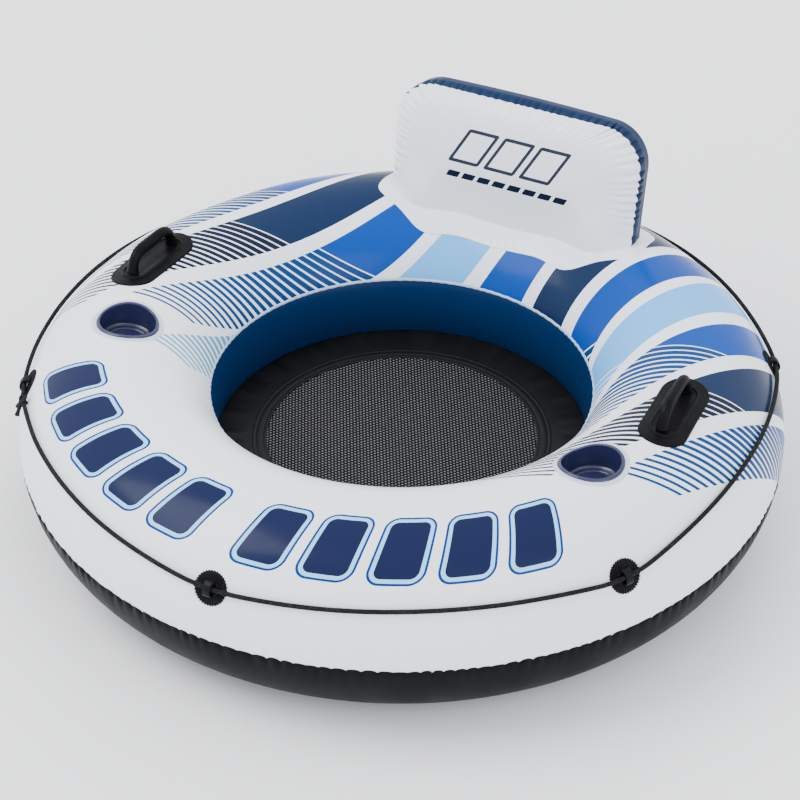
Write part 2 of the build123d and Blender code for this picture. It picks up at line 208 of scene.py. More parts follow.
# %% [markdown]
# A bar, a rope and a knot are all tubes along a path. A ring of points lies across the
# path at each of its points, in a frame that is carried along without twisting, and both
# ends close in a point. A bevelled curve would give the same tube but no strands.

# %% Tube helper
def tube_mesh(name, path, radius, sides, twist):
    """Rings of radius * twist(ring, turn) across a path, closed at both ends."""
    ahead = np.gradient(path, axis=0)
    ahead /= np.linalg.norm(ahead, axis=1)[:, None]
    side = np.cross(ahead[0], [0.0, 0.0, 1.0])
    if np.linalg.norm(side) < 0.1:
        side = np.cross(ahead[0], [0.0, 1.0, 0.0])
    sides_of = []
    for direction in ahead:
        side = side - direction * side.dot(direction)
        side = side / np.linalg.norm(side)
        sides_of.append(side)
    side = np.array(sides_of)
    up = np.cross(side, ahead)
    turn = np.linspace(0, 2 * pi, sides, endpoint=False)[None, :]
    radius = np.broadcast_to(np.asarray(radius), (len(path),))[:, None] * np.ones_like(turn)
    radius = radius * twist(np.arange(len(path))[:, None], turn)
    points = path[:, None] + (radius * np.cos(turn))[..., None] * side[:, None]
    points = points + (radius * np.sin(turn))[..., None] * up[:, None]
    ends = [points[:1].mean(axis=1, keepdims=True), points[-1:].mean(axis=1, keepdims=True)]
    points = np.concatenate([
        np.repeat(ends[0], sides, axis=1), points, np.repeat(ends[1], sides, axis=1)
    ])
    uv = unit_uv(len(points), sides + 1)
    return weld(grid_mesh(name, points, close_v=True, flip=True, uvs={"UVMap": uv}), 1e-6)


# %% [markdown]
# ## Camera, floor and light
# The camera stands a little to the right of the front and looks down by about 36
# degrees, through a long lens. The floor is plain and pale. Film is glossy, so the
# lights are large and soft: a small lamp would burn a hard spot into the white film.

# %% Camera
CAMERA_AZIMUTH = radians(27.4)
CAMERA_ELEVATION = radians(35.84)
CAMERA_DISTANCE = 4.4605
CAMERA_TARGET = Vector((-0.0028, -0.0015, 0.2013))

camera_data = bpy.data.cameras.new("camera")
camera_data.sensor_width = 36.0
camera_data.lens = 113.19
camera = bpy.data.objects.new("camera", camera_data)
scene.collection.objects.link(camera)
towards = Vector((
    sin(CAMERA_AZIMUTH) * cos(CAMERA_ELEVATION),
    -cos(CAMERA_AZIMUTH) * cos(CAMERA_ELEVATION),
    sin(CAMERA_ELEVATION),
))
camera.location = CAMERA_TARGET + towards * CAMERA_DISTANCE
camera.rotation_euler = towards.to_track_quat("Z", "Y").to_euler()
scene.camera = camera
print("camera", round(CAMERA_DISTANCE, 2), "m away through a lens of", round(camera_data.lens), "mm")

# %% Lights
LIGHT_AIM = Vector((0, 0, 0.15))


def add_light(name, place, size, power, mirrored=True):
    """A square area light that faces the middle; mirrored if film may reflect it."""
    data = bpy.data.lights.new(name, "AREA")
    data.size = size
    data.energy = power
    lamp = bpy.data.objects.new(name, data)
    scene.collection.objects.link(lamp)
    lamp.location = place
    aim = Vector(place) - LIGHT_AIM
    lamp.rotation_euler = aim.to_track_quat("Z", "Y").to_euler()
    lamp.visible_glossy = mirrored


add_light("key_light", (-2.2, -1.6, 3.6), 2.6, 150)
add_light("fill_light", (3.4, -1.8, 2.4), 2.8, 62)
add_light("back_light", (-0.6, 3.6, 2.8), 2.4, 80, mirrored=False)

world = bpy.data.worlds.new("studio")
world.use_nodes = True
backdrop = world.node_tree.nodes["Background"]
backdrop.inputs["Color"].default_value = (0.93, 0.95, 1.0, 1)
backdrop.inputs["Strength"].default_value = 1.75
scene.world = world

# %% [markdown]
# ## Materials
# Arithmetic on sockets reads best as plain arithmetic, so a small class turns + - * and
# comparisons into Math nodes. The printed pattern, the mesh and the rope all use it. A
# node group for each formula would do the same, but hides the formula in its wiring.

# %% Arithmetic on sockets
class Field:
    """A number that varies over a surface, built from Math nodes."""

    def __init__(self, tree, socket):
        self.tree = tree
        self.socket = socket

    def math(self, operation, *others):
        """A Math node with this number first; the others are fields or plain numbers."""
        node = self.tree.nodes.new("ShaderNodeMath")
        node.operation = operation
        for slot, value in enumerate((self, *others)):
            if isinstance(value, Field):
                self.tree.links.new(value.socket, node.inputs[slot])
            else:
                node.inputs[slot].default_value = value
        return Field(self.tree, node.outputs[0])

    def __add__(self, other):
        return self.math("ADD", other)

    def __sub__(self, other):
        return self.math("SUBTRACT", other)

    def __mul__(self, other):
        return self.math("MULTIPLY", other)

    def above(self, edge):
        return self.math("GREATER_THAN", edge)

    def below(self, edge):
        return self.math("LESS_THAN", edge)


# %% [markdown]
# Every finish is one Principled shader. Its colour takes layers of paint through masks,
# and its bumps are chained, so a grain can lie over a slow swell. What is the same all
# over a piece is set on the shader itself, where the export can read it.

# %% Finish
NOISE_LOW, NOISE_HIGH = 0.3, 0.7  # nearly all of a noise lies between these
COAT_ROUGHNESS = 0.12


class Finish:
    """A Principled material with helpers for its nodes."""

    def __init__(self, name, colour, roughness, coat=0.0, specular=0.5):
        self.material = bpy.data.materials.new(name)
        self.material.use_nodes = True
        self.tree = self.material.node_tree
        self.shader = self.tree.nodes["Principled BSDF"]
        self.shader.inputs["Base Color"].default_value = (*colour, 1)
        self.shader.inputs["Roughness"].default_value = roughness
        self.shader.inputs["Coat Weight"].default_value = coat
        self.shader.inputs["Coat Roughness"].default_value = COAT_ROUGHNESS
        self.shader.inputs["Specular IOR Level"].default_value = specular
        self.colour = None
        self.height = None

    def place(self, layer=None):
        """The point's place in the object, or in a named UV layer."""
        if layer:
            node = self.tree.nodes.new("ShaderNodeUVMap")
            node.uv_map = layer
            return node.outputs["UV"]
        return self.tree.nodes.new("ShaderNodeTexCoord").outputs["Object"]

    def axes(self, socket):
        """The three numbers of a place."""
        node = self.tree.nodes.new("ShaderNodeSeparateXYZ")
        self.tree.links.new(socket, node.inputs[0])
        return [Field(self.tree, node.outputs[k]) for k in range(3)]

    def noise(self, scale, detail=2.0):
        """Cloudy noise; the scale is its spots in a metre."""
        node = self.tree.nodes.new("ShaderNodeTexNoise")
        node.inputs["Scale"].default_value = scale
        node.inputs["Detail"].default_value = detail
        self.tree.links.new(self.place(), node.inputs["Vector"])
        return Field(self.tree, node.outputs["Fac"])

    def paint(self, mask, colour):
        """Lay a colour over what is there, where the mask is 1."""
        node = self.tree.nodes.new("ShaderNodeMix")
        node.data_type = "RGBA"
        self.tree.links.new(mask.socket, node.inputs["Factor"])
        if self.colour is None:
            node.inputs["A"].default_value = self.shader.inputs["Base Color"].default_value
        else:
            self.tree.links.new(self.colour, node.inputs["A"])
        node.inputs["B"].default_value = (*colour, 1)
        self.colour = node.outputs["Result"]
        self.tree.links.new(self.colour, self.shader.inputs["Base Color"])

    def vary_roughness(self, field, low, high):
        """Roughness that follows a noise from low to high."""
        node = self.tree.nodes.new("ShaderNodeMapRange")
        self.tree.links.new(field.socket, node.inputs["Value"])
        node.inputs["From Min"].default_value = NOISE_LOW
        node.inputs["From Max"].default_value = NOISE_HIGH
        node.inputs["To Min"].default_value = low
        node.inputs["To Max"].default_value = high
        self.tree.links.new(node.outputs["Result"], self.shader.inputs["Roughness"])

    def bump(self, field, height):
        """Lay a bump of a height in metres over the bumps that are there."""
        node = self.tree.nodes.new("ShaderNodeBump")
        node.inputs["Strength"].default_value = 1.0
        node.inputs["Distance"].default_value = height
        self.tree.links.new(field.socket, node.inputs["Height"])
        if self.height is not None:
            self.tree.links.new(self.height, node.inputs["Normal"])
        self.height = node.outputs["Normal"]
        self.tree.links.new(self.height, self.shader.inputs["Normal"])


# %% [markdown]
# Most of the tube is one stuff: calendered vinyl film, smooth but never quite even. Its
# highlights would be ruler straight on a bare formula surface. Denting the mesh would
# work too, but a slow bump and a fine grain cost no faces and are the same on any piece.

# %% Film
def film(name, colour, roughness=0.24, grain=0.00002, soft=0.0006, gloss=0.3):
    """Welded vinyl film: a fine grain, and slow unevenness from the tension in it."""
    finish = Finish(name, colour, roughness, coat=0.05, specular=gloss)
    finish.bump(finish.noise(5.0, 1.0), 2 * soft)
    finish.bump(finish.noise(420.0, 1.0), grain)
    finish.vary_roughness(finish.noise(14.0, 4.0), roughness - 0.05, roughness + 0.07)
    return finish


# %% Colours and studio floor
WHITE = (0.84, 0.88, 0.94)
DEEP_BLUE = (0.0, 0.052, 0.31)
LINE_BLUE = (0.001, 0.042, 0.17)
LIGHT_BLUE = (0.12, 0.42, 0.86)
PALE_LINE = (0.10, 0.33, 0.50)
NAVY = (0.0065, 0.020, 0.062)
INK = (0.006, 0.011, 0.030)
BLACK_FILM = (0.0024, 0.0026, 0.0042)

STAGE_REACH = 14.0
stage_finish = Finish("studio_floor", (0.93, 0.935, 0.94), 0.85, specular=0.1)
stage_finish.vary_roughness(stage_finish.noise(3.0), 0.8, 0.9)
stage_mesh = bpy.data.meshes.new("studio_floor")
stage_mesh.from_pydata(
    [(x * STAGE_REACH, y * STAGE_REACH, 0) for x, y in ((-1, -1), (1, -1), (1, 1), (-1, 1))],
    [],
    [(0, 1, 2, 3)],
)
studio_floor = new_object("studio_floor", stage_mesh, stage_finish.material)

# %% [markdown]
# ## The print
# The film is printed flat, before it is welded. So the pattern is drawn in the plane of
# the flat sheet, and the ring's pieces carry the flat place of each point as a UV map:
# the distance across the sheet is the ring's radius plus the arc down from the crown.
# Each stripe is a slanted band between two gently bent edges, x = a + b*y + c*y*y. Its
# top is solid, and below that it breaks into thin lines that get thinner downwards.
# Real geometry for the lines was the other way to do this, but ink has no thickness.

# %% Stripes, in millimetres of the flat sheet
LEFT_LINES = (0.0, -0.00024, 13.2)
RIGHT_LINES = (0.29, 0.0, 14.8)
NO_TOP = 900.0
LINE_THIN, LINE_GAIN = 0.36, 0.46  # inked share of a pitch: at the tail, and gained upwards
# left edge (a, b, c), right edge (a, b, c), colour, ink of its lines,
# where the lines start and end, the line pattern (slope, bend, pitch) and the top
STRIPES = [
    ((-647, 0.55, 0), (-587, 0.63, -0.0002), DEEP_BLUE, LINE_BLUE, 360, -20, LEFT_LINES, NO_TOP),
    ((-557, 0.64, -0.00025), (-454, 0.66, -0.0003), NAVY, INK, 228, -85, LEFT_LINES, NO_TOP),
    ((-415, 0.615, -0.00025), (-302, 0.66, -0.00055), DEEP_BLUE, LINE_BLUE, 250, -58, LEFT_LINES, NO_TOP),
    ((-290, 0.52, 0), (-186, 0.63, 0), LIGHT_BLUE, PALE_LINE, 60, -172, LEFT_LINES, 110),
    ((-220, 0.31, 0), (-142, 0.35, 0), LIGHT_BLUE, LIGHT_BLUE, 100, 90, LEFT_LINES, NO_TOP),
    ((-121, 0.375, 0), (-54, 0.425, 0), DEEP_BLUE, LINE_BLUE, 100, 90, LEFT_LINES, NO_TOP),
    ((-36, 0.45, 0), (6, 0.59, 0), NAVY, NAVY, 100, 90, LEFT_LINES, NO_TOP),
    ((37, 0.60, 0), (119, 0.625, 0), DEEP_BLUE, LINE_BLUE, 141, 30, RIGHT_LINES, NO_TOP),
    ((96, 0.994, -0.0006), (246, 0.72, -0.0002), LIGHT_BLUE, LIGHT_BLUE, 44, -40, RIGHT_LINES, NO_TOP),
    ((270, 0.80, -0.0003), (404, 0.58, 0), DEEP_BLUE, LINE_BLUE, 58, -178, RIGHT_LINES, NO_TOP),
    ((445, 0.60, -0.0002), (549, 0.57, -0.0001), NAVY, INK, -71, -371, RIGHT_LINES, NO_TOP),
    ((585, 0.50, 0), (688, 0.56, 0), DEEP_BLUE, LINE_BLUE, -25, -345, RIGHT_LINES, NO_TOP),
]


def stripe_masks(x, y, stripe):
    """Solid part and lines of one stripe: between its edges, above and below its start."""
    left, right, _, _, start, end, (slope, bend, pitch), top = stripe
    inside = None
    for (a, b, c), side in ((left, 1), (right, -1)):
        edge = y * b + a
        if c:
            edge = edge + y * y * c
        one_side = (x - edge).above(0) if side > 0 else (x - edge).below(0)
        inside = one_side if inside is None else inside * one_side
    down = y - x * slope
    if bend:
        down = down - x * x * bend
    solid = inside * down.above(start) * down.below(top)
    phase = (down - start) * (1 / pitch)
    share = (down - end) * (LINE_GAIN / (start - end)) + LINE_THIN
    lines = phase.math("FLOORED_MODULO", 1.0).math("LESS_THAN", share)
    return solid, inside * lines * down.below(start) * down.above(end)


# %% [markdown]
# The front carries two groups of slanted badges, each with a light and a dark outline.
# They're drawn round the ring: the place across the sheet and the arc along it are the
# two axes, and one badge is a slanted rounded box that repeats.

# %% Badges on the front
BADGE_RADIUS = 578.0
BADGE_HALF_HEIGHT = 50.0
BADGE_HALF_WIDTH = 34.0
BADGE_COUNT = 5
BADGE_ROUND = 13.0
BADGE_SLANT = 0.30
# how far each ring grows past the badge, outermost first: outline, light line, fill
BADGE_RINGS = (
    (10.5, (0.001, 0.030, 0.20)), (6.5, (0.30, 0.64, 0.95)), (0.0, (0.007, 0.012, 0.050)),
)
BADGE_GROUPS = ((-146.0, -93.5), (-88.5, -36.0))


def badge_rings(along, across, half_width, half_height, rings, corner=BADGE_ROUND):
    """Masks of nested rounded boxes: points nearer to the box than each ring has grown."""
    far_x = along.math("ABSOLUTE") - (half_width - corner)
    far_y = across.math("ABSOLUTE") - (half_height - corner)
    out_x, out_y = far_x.math("MAXIMUM", 0.0), far_y.math("MAXIMUM", 0.0)
    inside = far_x.math("MAXIMUM", far_y).math("MINIMUM", 0.0)
    distance = (out_x * out_x + out_y * out_y).math("SQRT") + inside - corner
    return [(distance.below(grown), colour) for grown, colour in rings]


# %% Printed film
MM = 1000.0  # millimetres in a metre


def printed_film():
    """White film with the stripes and the badges, read from the flat sheet's UV map."""
    finish = film("printed_film", WHITE, gloss=0.09)
    x, y, _ = finish.axes(finish.place(layer="FlatSheet"))
    x, y = x * MM, y * MM
    for stripe in STRIPES:
        solid, lines = stripe_masks(x, y, stripe)
        finish.paint(solid, stripe[2])
        finish.paint(lines, stripe[3])
    radius = (x * x + y * y).math("SQRT")
    angle = y.math("ARCTAN2", x) * degrees(1)
    across = radius - BADGE_RADIUS
    for low, high in BADGE_GROUPS:
        step = (high - low) / BADGE_COUNT
        pitch = radians(step) * BADGE_RADIUS
        place = (angle - low) * (1 / step) + across * (BADGE_SLANT / pitch)
        along = (place.math("FLOORED_MODULO", 1.0) - 0.5) * pitch
        within = place.above(0) * place.below(BADGE_COUNT)
        for mask, colour in badge_rings(
            along, across, BADGE_HALF_WIDTH, BADGE_HALF_HEIGHT, BADGE_RINGS
        ):
            finish.paint(mask * within, colour)
    return finish.material


print_material = printed_film()
print(len(STRIPES), "stripes,", len(print_material.node_tree.nodes), "nodes")

# %% [markdown]
# ## Seams that gather
# Film is flat when it's cut, so along each seam the inflated film has length to spare
# and gathers into small puckers. A pucker pushes the skin out and in and shifts the
# seam line up and down. The waves wander in step and height, as real ones do. They're
# sums of sines whose counts round the ring are whole numbers, so they close.

# %% Gathers
OUTER_PUCKERS, RIM_PUCKERS = 196, 128
PUCKER_REACH, LONG_REACH, WELD_REACH = 0.012, 0.028, 0.004
PUCKER_LIFT, LONG_LIFT, OUTER_DIP = 0.0022, 0.0011, 0.0018
SCALLOP_SHIFT, LONG_SHIFT = 0.0052, 0.0010
RIM_LIFT, RIM_SHIFT, RIM_DIP = 0.0005, 0.0003, 0.0014
RIM_SEED = 0.6


def puckers(angle, count, seed=0.0, cusped=False):
    """Uneven wave round the ring: a sine or a row of scallops that wander."""
    wander = 2.2 * np.sin(7 * angle + seed) + 1.5 * np.sin(19 * angle + 2 * seed)
    height = 0.62 + 0.25 * np.sin(31 * angle + 1 + seed) + 0.18 * np.sin(53 * angle + seed)
    if cusped:
        return height * (2 * np.abs(np.sin((count * angle + wander) / 2 + pi / 4)) - 1)
    return height * np.sin(count * angle + wander)


def gathered(angle, level):
    """Ring points with the puckers of the outer seam and of the rim seam."""
    from_outer = SECTION_RADIUS * np.abs(level - OUTER_SEAM)
    from_rim = SECTION_RADIUS * np.abs(level - RIM_SEAM)
    wave = puckers(angle, OUTER_PUCKERS)
    long_wave = puckers(angle, OUTER_PUCKERS // 3, 1.7)
    scallop = puckers(angle, OUTER_PUCKERS, 0.0, cusped=True)
    near = np.exp(-from_outer / PUCKER_REACH)
    wide = np.exp(-from_outer / LONG_REACH)
    lift = PUCKER_LIFT * wave * near + LONG_LIFT * long_wave * wide
    lift = lift - OUTER_DIP * np.exp(-from_outer / WELD_REACH)
    shift = (SCALLOP_SHIFT * scallop + LONG_SHIFT * long_wave) * near
    rim_wave = puckers(angle, RIM_PUCKERS, RIM_SEED)
    rim_near = np.exp(-from_rim / PUCKER_REACH)
    lift = lift + RIM_LIFT * rim_wave * rim_near - RIM_DIP * np.exp(-from_rim / WELD_REACH)
    shift = shift + RIM_SHIFT * rim_wave * rim_near
    return on_ring(angle, level + shift / SECTION_RADIUS, lift)


def eased_levels(low, high, count, dense):
    """Levels from low to high, closer together near both ends by a dense share."""
    share = np.linspace(0, 1, count)
    share = share - dense * np.sin(2 * pi * share) / (2 * pi)
    return low + (high - low) * share


print("seams at levels", [round(degrees(seam), 1) for seam in (OUTER_SEAM, RIM_SEAM, FLOOR_SEAM)])


# %% [markdown]
# ## Top sheet
# The printed sheet runs from the outer seam over the crown to the rim. It is made in
# three pieces of a third of the ring each, so that each has a picture of its own when
# its colours are baked, fine enough for the thin lines. Each piece gets its normals
# from the formula, so the pieces shade as one sheet. Where a cup holder hangs in the
# sheet, the faces over its bore are left out and the hole's edge is drawn round.

# %% Cup places
CUP_CIRCLE_RADIUS = 0.481
CUP_ANGLES = {"right": radians(-23), "left": radians(203)}
CUP_LEVEL = acos((CUP_CIRCLE_RADIUS - RING_RADIUS) / SECTION_RADIUS)
CUP_HOLE = 0.0525
cup_frames = {side: skin_frame(angle, CUP_LEVEL) for side, angle in CUP_ANGLES.items()}


# %% Top sheet
def formula_normals(surface, angle, level, step=1e-4):
    """Outward normals of a surface formula, from differences both ways."""
    around = surface(angle + step, level) - surface(angle - step, level)
    over = surface(angle, level + step) - surface(angle, level - step)
    normal = np.cross(around, over)
    return normal / np.linalg.norm(normal, axis=-1, keepdims=True)


NEAR_CUP = 0.05


def cut_cup_holes(points):
    """Mask of faces kept, with the hole's edge points moved onto its circle."""
    keep = np.ones(tuple(n - 1 for n in points.shape[:2]), bool)
    for _, _, out, origin in cup_frames.values():
        rel = points - origin
        high = rel @ out
        flat = rel - high[..., None] * out
        reach = np.linalg.norm(flat, axis=-1)
        reach[np.abs(high) > NEAR_CUP] = 1.0
        middle = (reach[1:, 1:] + reach[:-1, 1:] + reach[1:, :-1] + reach[:-1, :-1]) / 4
        gone = middle < CUP_HOLE
        keep &= ~gone
        inner, outer = np.zeros(reach.shape, bool), np.zeros(reach.shape, bool)
        for a in (slice(1, None), slice(None, -1)):
            for b in (slice(1, None), slice(None, -1)):
                inner[a, b] |= gone
                outer[a, b] |= ~gone
        edge = inner & outer
        if edge.any():
            scale = CUP_HOLE / reach[edge]
            points[edge] = origin + high[edge][:, None] * out + flat[edge] * scale[:, None]
    return keep


SECTORS = 3
SECTOR_COLUMNS = 640
SECTOR_START = radians(-90)
SHEET_ROWS = 92
sheet_levels = eased_levels(OUTER_SEAM, RIM_SEAM, SHEET_ROWS, 0.72)

for part in range(SECTORS):
    sweep = 2 * pi / SECTORS
    start = SECTOR_START + part * sweep
    angles = np.linspace(start, start + sweep, SECTOR_COLUMNS + 1)
    angle, level = np.meshgrid(angles, sheet_levels, indexing="ij")
    points = gathered(angle, level)
    keep = cut_cup_holes(points)
    flat_radius = RING_RADIUS + SECTION_RADIUS * (pi / 2 - level)
    flat = np.stack([flat_radius * np.cos(angle), flat_radius * np.sin(angle)], axis=-1)
    bake = unit_uv(*angle.shape)
    bake[..., 1] = (level - OUTER_SEAM) / (RIM_SEAM - OUTER_SEAM)
    mesh = grid_mesh(
        f"printed_sheet_{part + 1}", points, keep=keep, uvs={"FlatSheet": flat, "OFBake": bake}
    )
    piece = new_object(f"printed_sheet_{part + 1}", mesh, print_material)
    found = vertex_places(mesh)
    angle_at = np.arctan2(found[:, 1], found[:, 0])
    beyond = np.hypot(found[:, 0], found[:, 1]) - RING_RADIUS
    level_at = np.arctan2(found[:, 2] - AXIS_HEIGHT, beyond)
    level_at[level_at < -pi / 2] += 2 * pi
    mesh.normals_split_custom_set_from_vertices(formula_normals(gathered, angle_at, level_at))
    on_tube(piece, "white_film", "top_sheet")
print("top sheet in", SECTORS, "pieces of", SECTOR_COLUMNS * (len(sheet_levels) - 1), "faces")

# %% [markdown]
# ## Bottom sheet and inner wall
# The black lower film gathers along the same seam line as the white one, so a band of
# it next to the seam has the same close columns. The rest is coarser. It flattens where
# it rests on the ground. The blue inner wall is one band between the rim and the floor.

# %% Lower film and wall
GATHER_WIDTH = radians(14)
ring_columns = SECTORS * SECTOR_COLUMNS
black_film = film("black_film", BLACK_FILM, roughness=0.5, soft=0.0011, gloss=0.05).material


def ring_band(name, columns, levels, material, node, slot, surface=gathered):
    """A closed band of the ring between two levels."""
    angles = np.linspace(0, 2 * pi, columns, endpoint=False)
    angle, level = np.meshgrid(angles, levels, indexing="ij")
    points = surface(angle, level)
    uv = unit_uv(columns + 1, len(levels))
    mesh = grid_mesh(name, points, close_u=True, uvs={"UVMap": uv})
    on_tube(new_object(name, mesh, material), slot, node)
    print(name, columns, "columns of", len(levels), "levels")


def resting(angle, level):
    """Gathered ring points, flat where the ring rests on the ground."""
    points = gathered(angle, level)
    points[..., 2] = np.maximum(points[..., 2], 0.0)
    return points


gather_levels = OUTER_SEAM - GATHER_WIDTH * (1 - np.linspace(1, 0, 16) ** 1.6)
ring_band(
    "lower_film_gathers", ring_columns, gather_levels[::-1], black_film, "outer_seam", "black_film"
)
lower_levels = np.linspace(FLOOR_SEAM - 2 * pi, OUTER_SEAM - GATHER_WIDTH, 72)
ring_band(
    "lower_film", SECTOR_COLUMNS, lower_levels, black_film, "bottom_sheet", "black_film", resting
)

# %% Inner wall, with painted shade that darkens it towards the floor
wall_film = film("wall_film", (0.001, 0.020, 0.075), roughness=0.34, soft=0.0003, gloss=0.08)
_, _, wall_height = wall_film.axes(wall_film.place())
# painted shade: the wall darkens towards the floor, broken up by a noise
wall_shade = (wall_height * -9.5 + 1.22 + (wall_film.noise(22.0) - 0.5) * 0.25).math("MAXIMUM", 0.0)
wall_film.paint(wall_shade.math("MINIMUM", 1.0), (0.001, 0.012, 0.045))
wall_levels = eased_levels(RIM_SEAM, FLOOR_SEAM, 30, 0.6)
ring_band(
    "inner_wall_film", SECTOR_COLUMNS, wall_levels, wall_film.material, "inner_wall", "blue_film"
)

# %% [markdown]
# At the rim the top sheet is welded to the inner wall in a narrow line. It could be a
# colour on the sheet, but a weld stands out of the film and catches the light. So it is
# a flat closed bead: an oval section carried round the seam, on the seam's puckers.

# %% Rim bead
BEAD_HALF_WIDTH, BEAD_HALF_HEIGHT, BEAD_SINK = 0.0028, 0.0016, 0.0006
bead_angles = np.linspace(0, 2 * pi, ring_columns // 2, endpoint=False)
bead_turns = np.linspace(0, 2 * pi, 10, endpoint=False)
bead_angle, bead_turn = np.meshgrid(bead_angles, bead_turns, indexing="ij")
bead_wave = puckers(bead_angle, RIM_PUCKERS, RIM_SEED)
bead_points = on_ring(
    bead_angle,
    RIM_SEAM + (BEAD_HALF_WIDTH * np.cos(bead_turn) + RIM_SHIFT * bead_wave) / SECTION_RADIUS,
    BEAD_HALF_HEIGHT * np.sin(bead_turn) - BEAD_SINK + RIM_LIFT * bead_wave,
)
bead_uv = unit_uv(len(bead_angles) + 1, len(bead_turns) + 1)
bead_mesh = grid_mesh("rim_bead", bead_points, True, True, uvs={"UVMap": bead_uv})
bead_film = film("rim_film", (0.42, 0.52, 0.70), roughness=0.2)
on_tube(new_object("rim_bead", bead_mesh, bead_film.material), "clear_film", "rim_seam")

# %% [markdown]
# ## Seat floor
# The floor is a flat ring of black film with a mesh disc welded under its border. The
# film can't stretch at its outer edge, so it runs in soft radial folds there. They're a
# sum of two sines of the angle that grows towards the wall, on a ring-shaped grid. The
# border is a turned profile with two pressed lines.

# %% Floor film
MESH_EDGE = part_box("mesh_panel")[1][0]
BORDER_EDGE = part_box("mesh_border")[1][0]
FLOOR_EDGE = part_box("seat_floor")[1][0]
MESH_OPENING = 0.242
FLOOR_RINGS, FLOOR_COLUMNS = 40, 720
FOLD_HEIGHT, FILM_LIFT = 0.0014, 0.0003
floor_black = film("floor_black", (0.0042, 0.0042, 0.0046), roughness=0.5, gloss=0.16).material


def radial_grid(radii, columns, height):
    """Points radius * (cos, sin) about the middle, with a height formula of both."""
    angles = np.linspace(0, 2 * pi, columns, endpoint=False)
    radius, angle = np.meshgrid(radii, angles, indexing="ij")
    return np.stack(
        [radius * np.cos(angle), radius * np.sin(angle), height(radius, angle)], axis=-1
    )


def floor_folds(radius, angle):
    """Floor height: radial folds that die out towards the mesh border."""
    near_wall = smoothstep(radius, BORDER_EDGE + 0.004, FLOOR_EDGE)
    folds = np.sin(34 * angle + 2 * np.sin(5 * angle)) + 0.6 * np.sin(61 * angle + 1)
    return FLOOR_HEIGHT + FILM_LIFT + FOLD_HEIGHT * near_wall * folds


floor_radii = np.linspace(MESH_OPENING + 0.010, FLOOR_EDGE - 0.0005, FLOOR_RINGS)
floor_points = radial_grid(floor_radii, FLOOR_COLUMNS, floor_folds)
floor_uv = {"UVMap": unit_uv(FLOOR_RINGS, FLOOR_COLUMNS + 1)}
floor_mesh = grid_mesh("floor_film", floor_points, close_v=True, uvs=floor_uv)
floor_film = new_object("floor_film", floor_mesh, floor_black)
on_tube(floor_film, "black_film", "seat_floor", "floor_seam")
print("floor film from", round(floor_radii[0], 3), "to", round(floor_radii[-1], 3), "m")

# %% Welded border with two pressed lines
BORDER_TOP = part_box("mesh_border")[1][2]
BORDER_COLUMNS = 360
border_profile = np.array([
    (BORDER_EDGE, FLOOR_HEIGHT + 0.0002), (BORDER_EDGE - 0.0006, BORDER_TOP - 0.0003),
    (BORDER_EDGE - 0.0016, BORDER_TOP), (BORDER_EDGE - 0.0050, BORDER_TOP),
    (BORDER_EDGE - 0.0058, BORDER_TOP - 0.0005), (BORDER_EDGE - 0.0072, BORDER_TOP - 0.0005),
    (BORDER_EDGE - 0.0080, BORDER_TOP), (MESH_OPENING + 0.0080, BORDER_TOP),
    (MESH_OPENING + 0.0072, BORDER_TOP - 0.0005), (MESH_OPENING + 0.0058, BORDER_TOP - 0.0005),
    (MESH_OPENING + 0.0050, BORDER_TOP), (MESH_OPENING + 0.0010, BORDER_TOP),
    (MESH_OPENING, BORDER_TOP - 0.0006), (MESH_OPENING, FLOOR_HEIGHT - 0.0022),
])
border_angle = np.linspace(0, 2 * pi, BORDER_COLUMNS, endpoint=False)[None, :]
border_points = np.stack([
    border_profile[:, :1] * np.cos(border_angle),
    border_profile[:, :1] * np.sin(border_angle),
    np.repeat(border_profile[:, 1:], BORDER_COLUMNS, axis=1),
], axis=-1)
border_uv = {"UVMap": unit_uv(len(border_profile), BORDER_COLUMNS + 1)}
border_mesh = grid_mesh("mesh_border_weld", border_points, close_v=True, flip=True, uvs=border_uv)
on_tube(new_object("mesh_border_weld", border_mesh, floor_black), "black_film", "mesh_border")
print("border", round(1000 * (BORDER_EDGE - MESH_OPENING)), "mm wide")

# %% [markdown]
# The mesh is a knitted sheet held all round, so it hangs as a shallow dish. Its weave is
# rows of slanted oval loops, drawn in the material with painted shade between them and a
# painted highlight on top. Real threads would be a million faces for something that is
# seen as grain.

# %% Mesh weave
WEAVE_ACROSS, WEAVE_ALONG = 0.0058, 0.0076
WEAVE_TURN = radians(29)
WEAVE_STEP, LOOP_LEAN = 0.36, 0.5
LOOP_EDGE, LOOP_TOP = 0.45, 0.31
knit = Finish("seat_mesh", (0.006, 0.006, 0.0065), 0.75, specular=0.12)
knit_x, knit_y, _ = knit.axes(knit.place())
across = (knit_x * cos(WEAVE_TURN) + knit_y * sin(WEAVE_TURN)) * (1 / WEAVE_ACROSS)
along = (knit_y * cos(WEAVE_TURN) - knit_x * sin(WEAVE_TURN)) * (1 / WEAVE_ALONG)
loop_x = across.math("FLOORED_MODULO", 1.0) - 0.5
loop_y = (along - across * WEAVE_STEP).math("FLOORED_MODULO", 1.0) - 0.5
loop_y = loop_y + loop_x * LOOP_LEAN
loop = (loop_x * loop_x * 0.9 + loop_y * loop_y * 1.9).math("SQRT")
# painted shade between the loops, and a painted highlight on their tops that a noise varies
knit.paint(loop.above(LOOP_EDGE), (0.0015, 0.0015, 0.0015))
knit.paint(loop.below(LOOP_TOP) * (knit.noise(90.0, 1.0) * 0.5 + 0.55), (0.16, 0.16, 0.165))
knit.bump(loop.math("MINIMUM", LOOP_EDGE) * -1.0, 0.0012)

# %% Mesh panel
MESH_RINGS, MESH_COLUMNS = 36, 180
MESH_SAG = 0.0025
mesh_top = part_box("mesh_panel")[1][2]


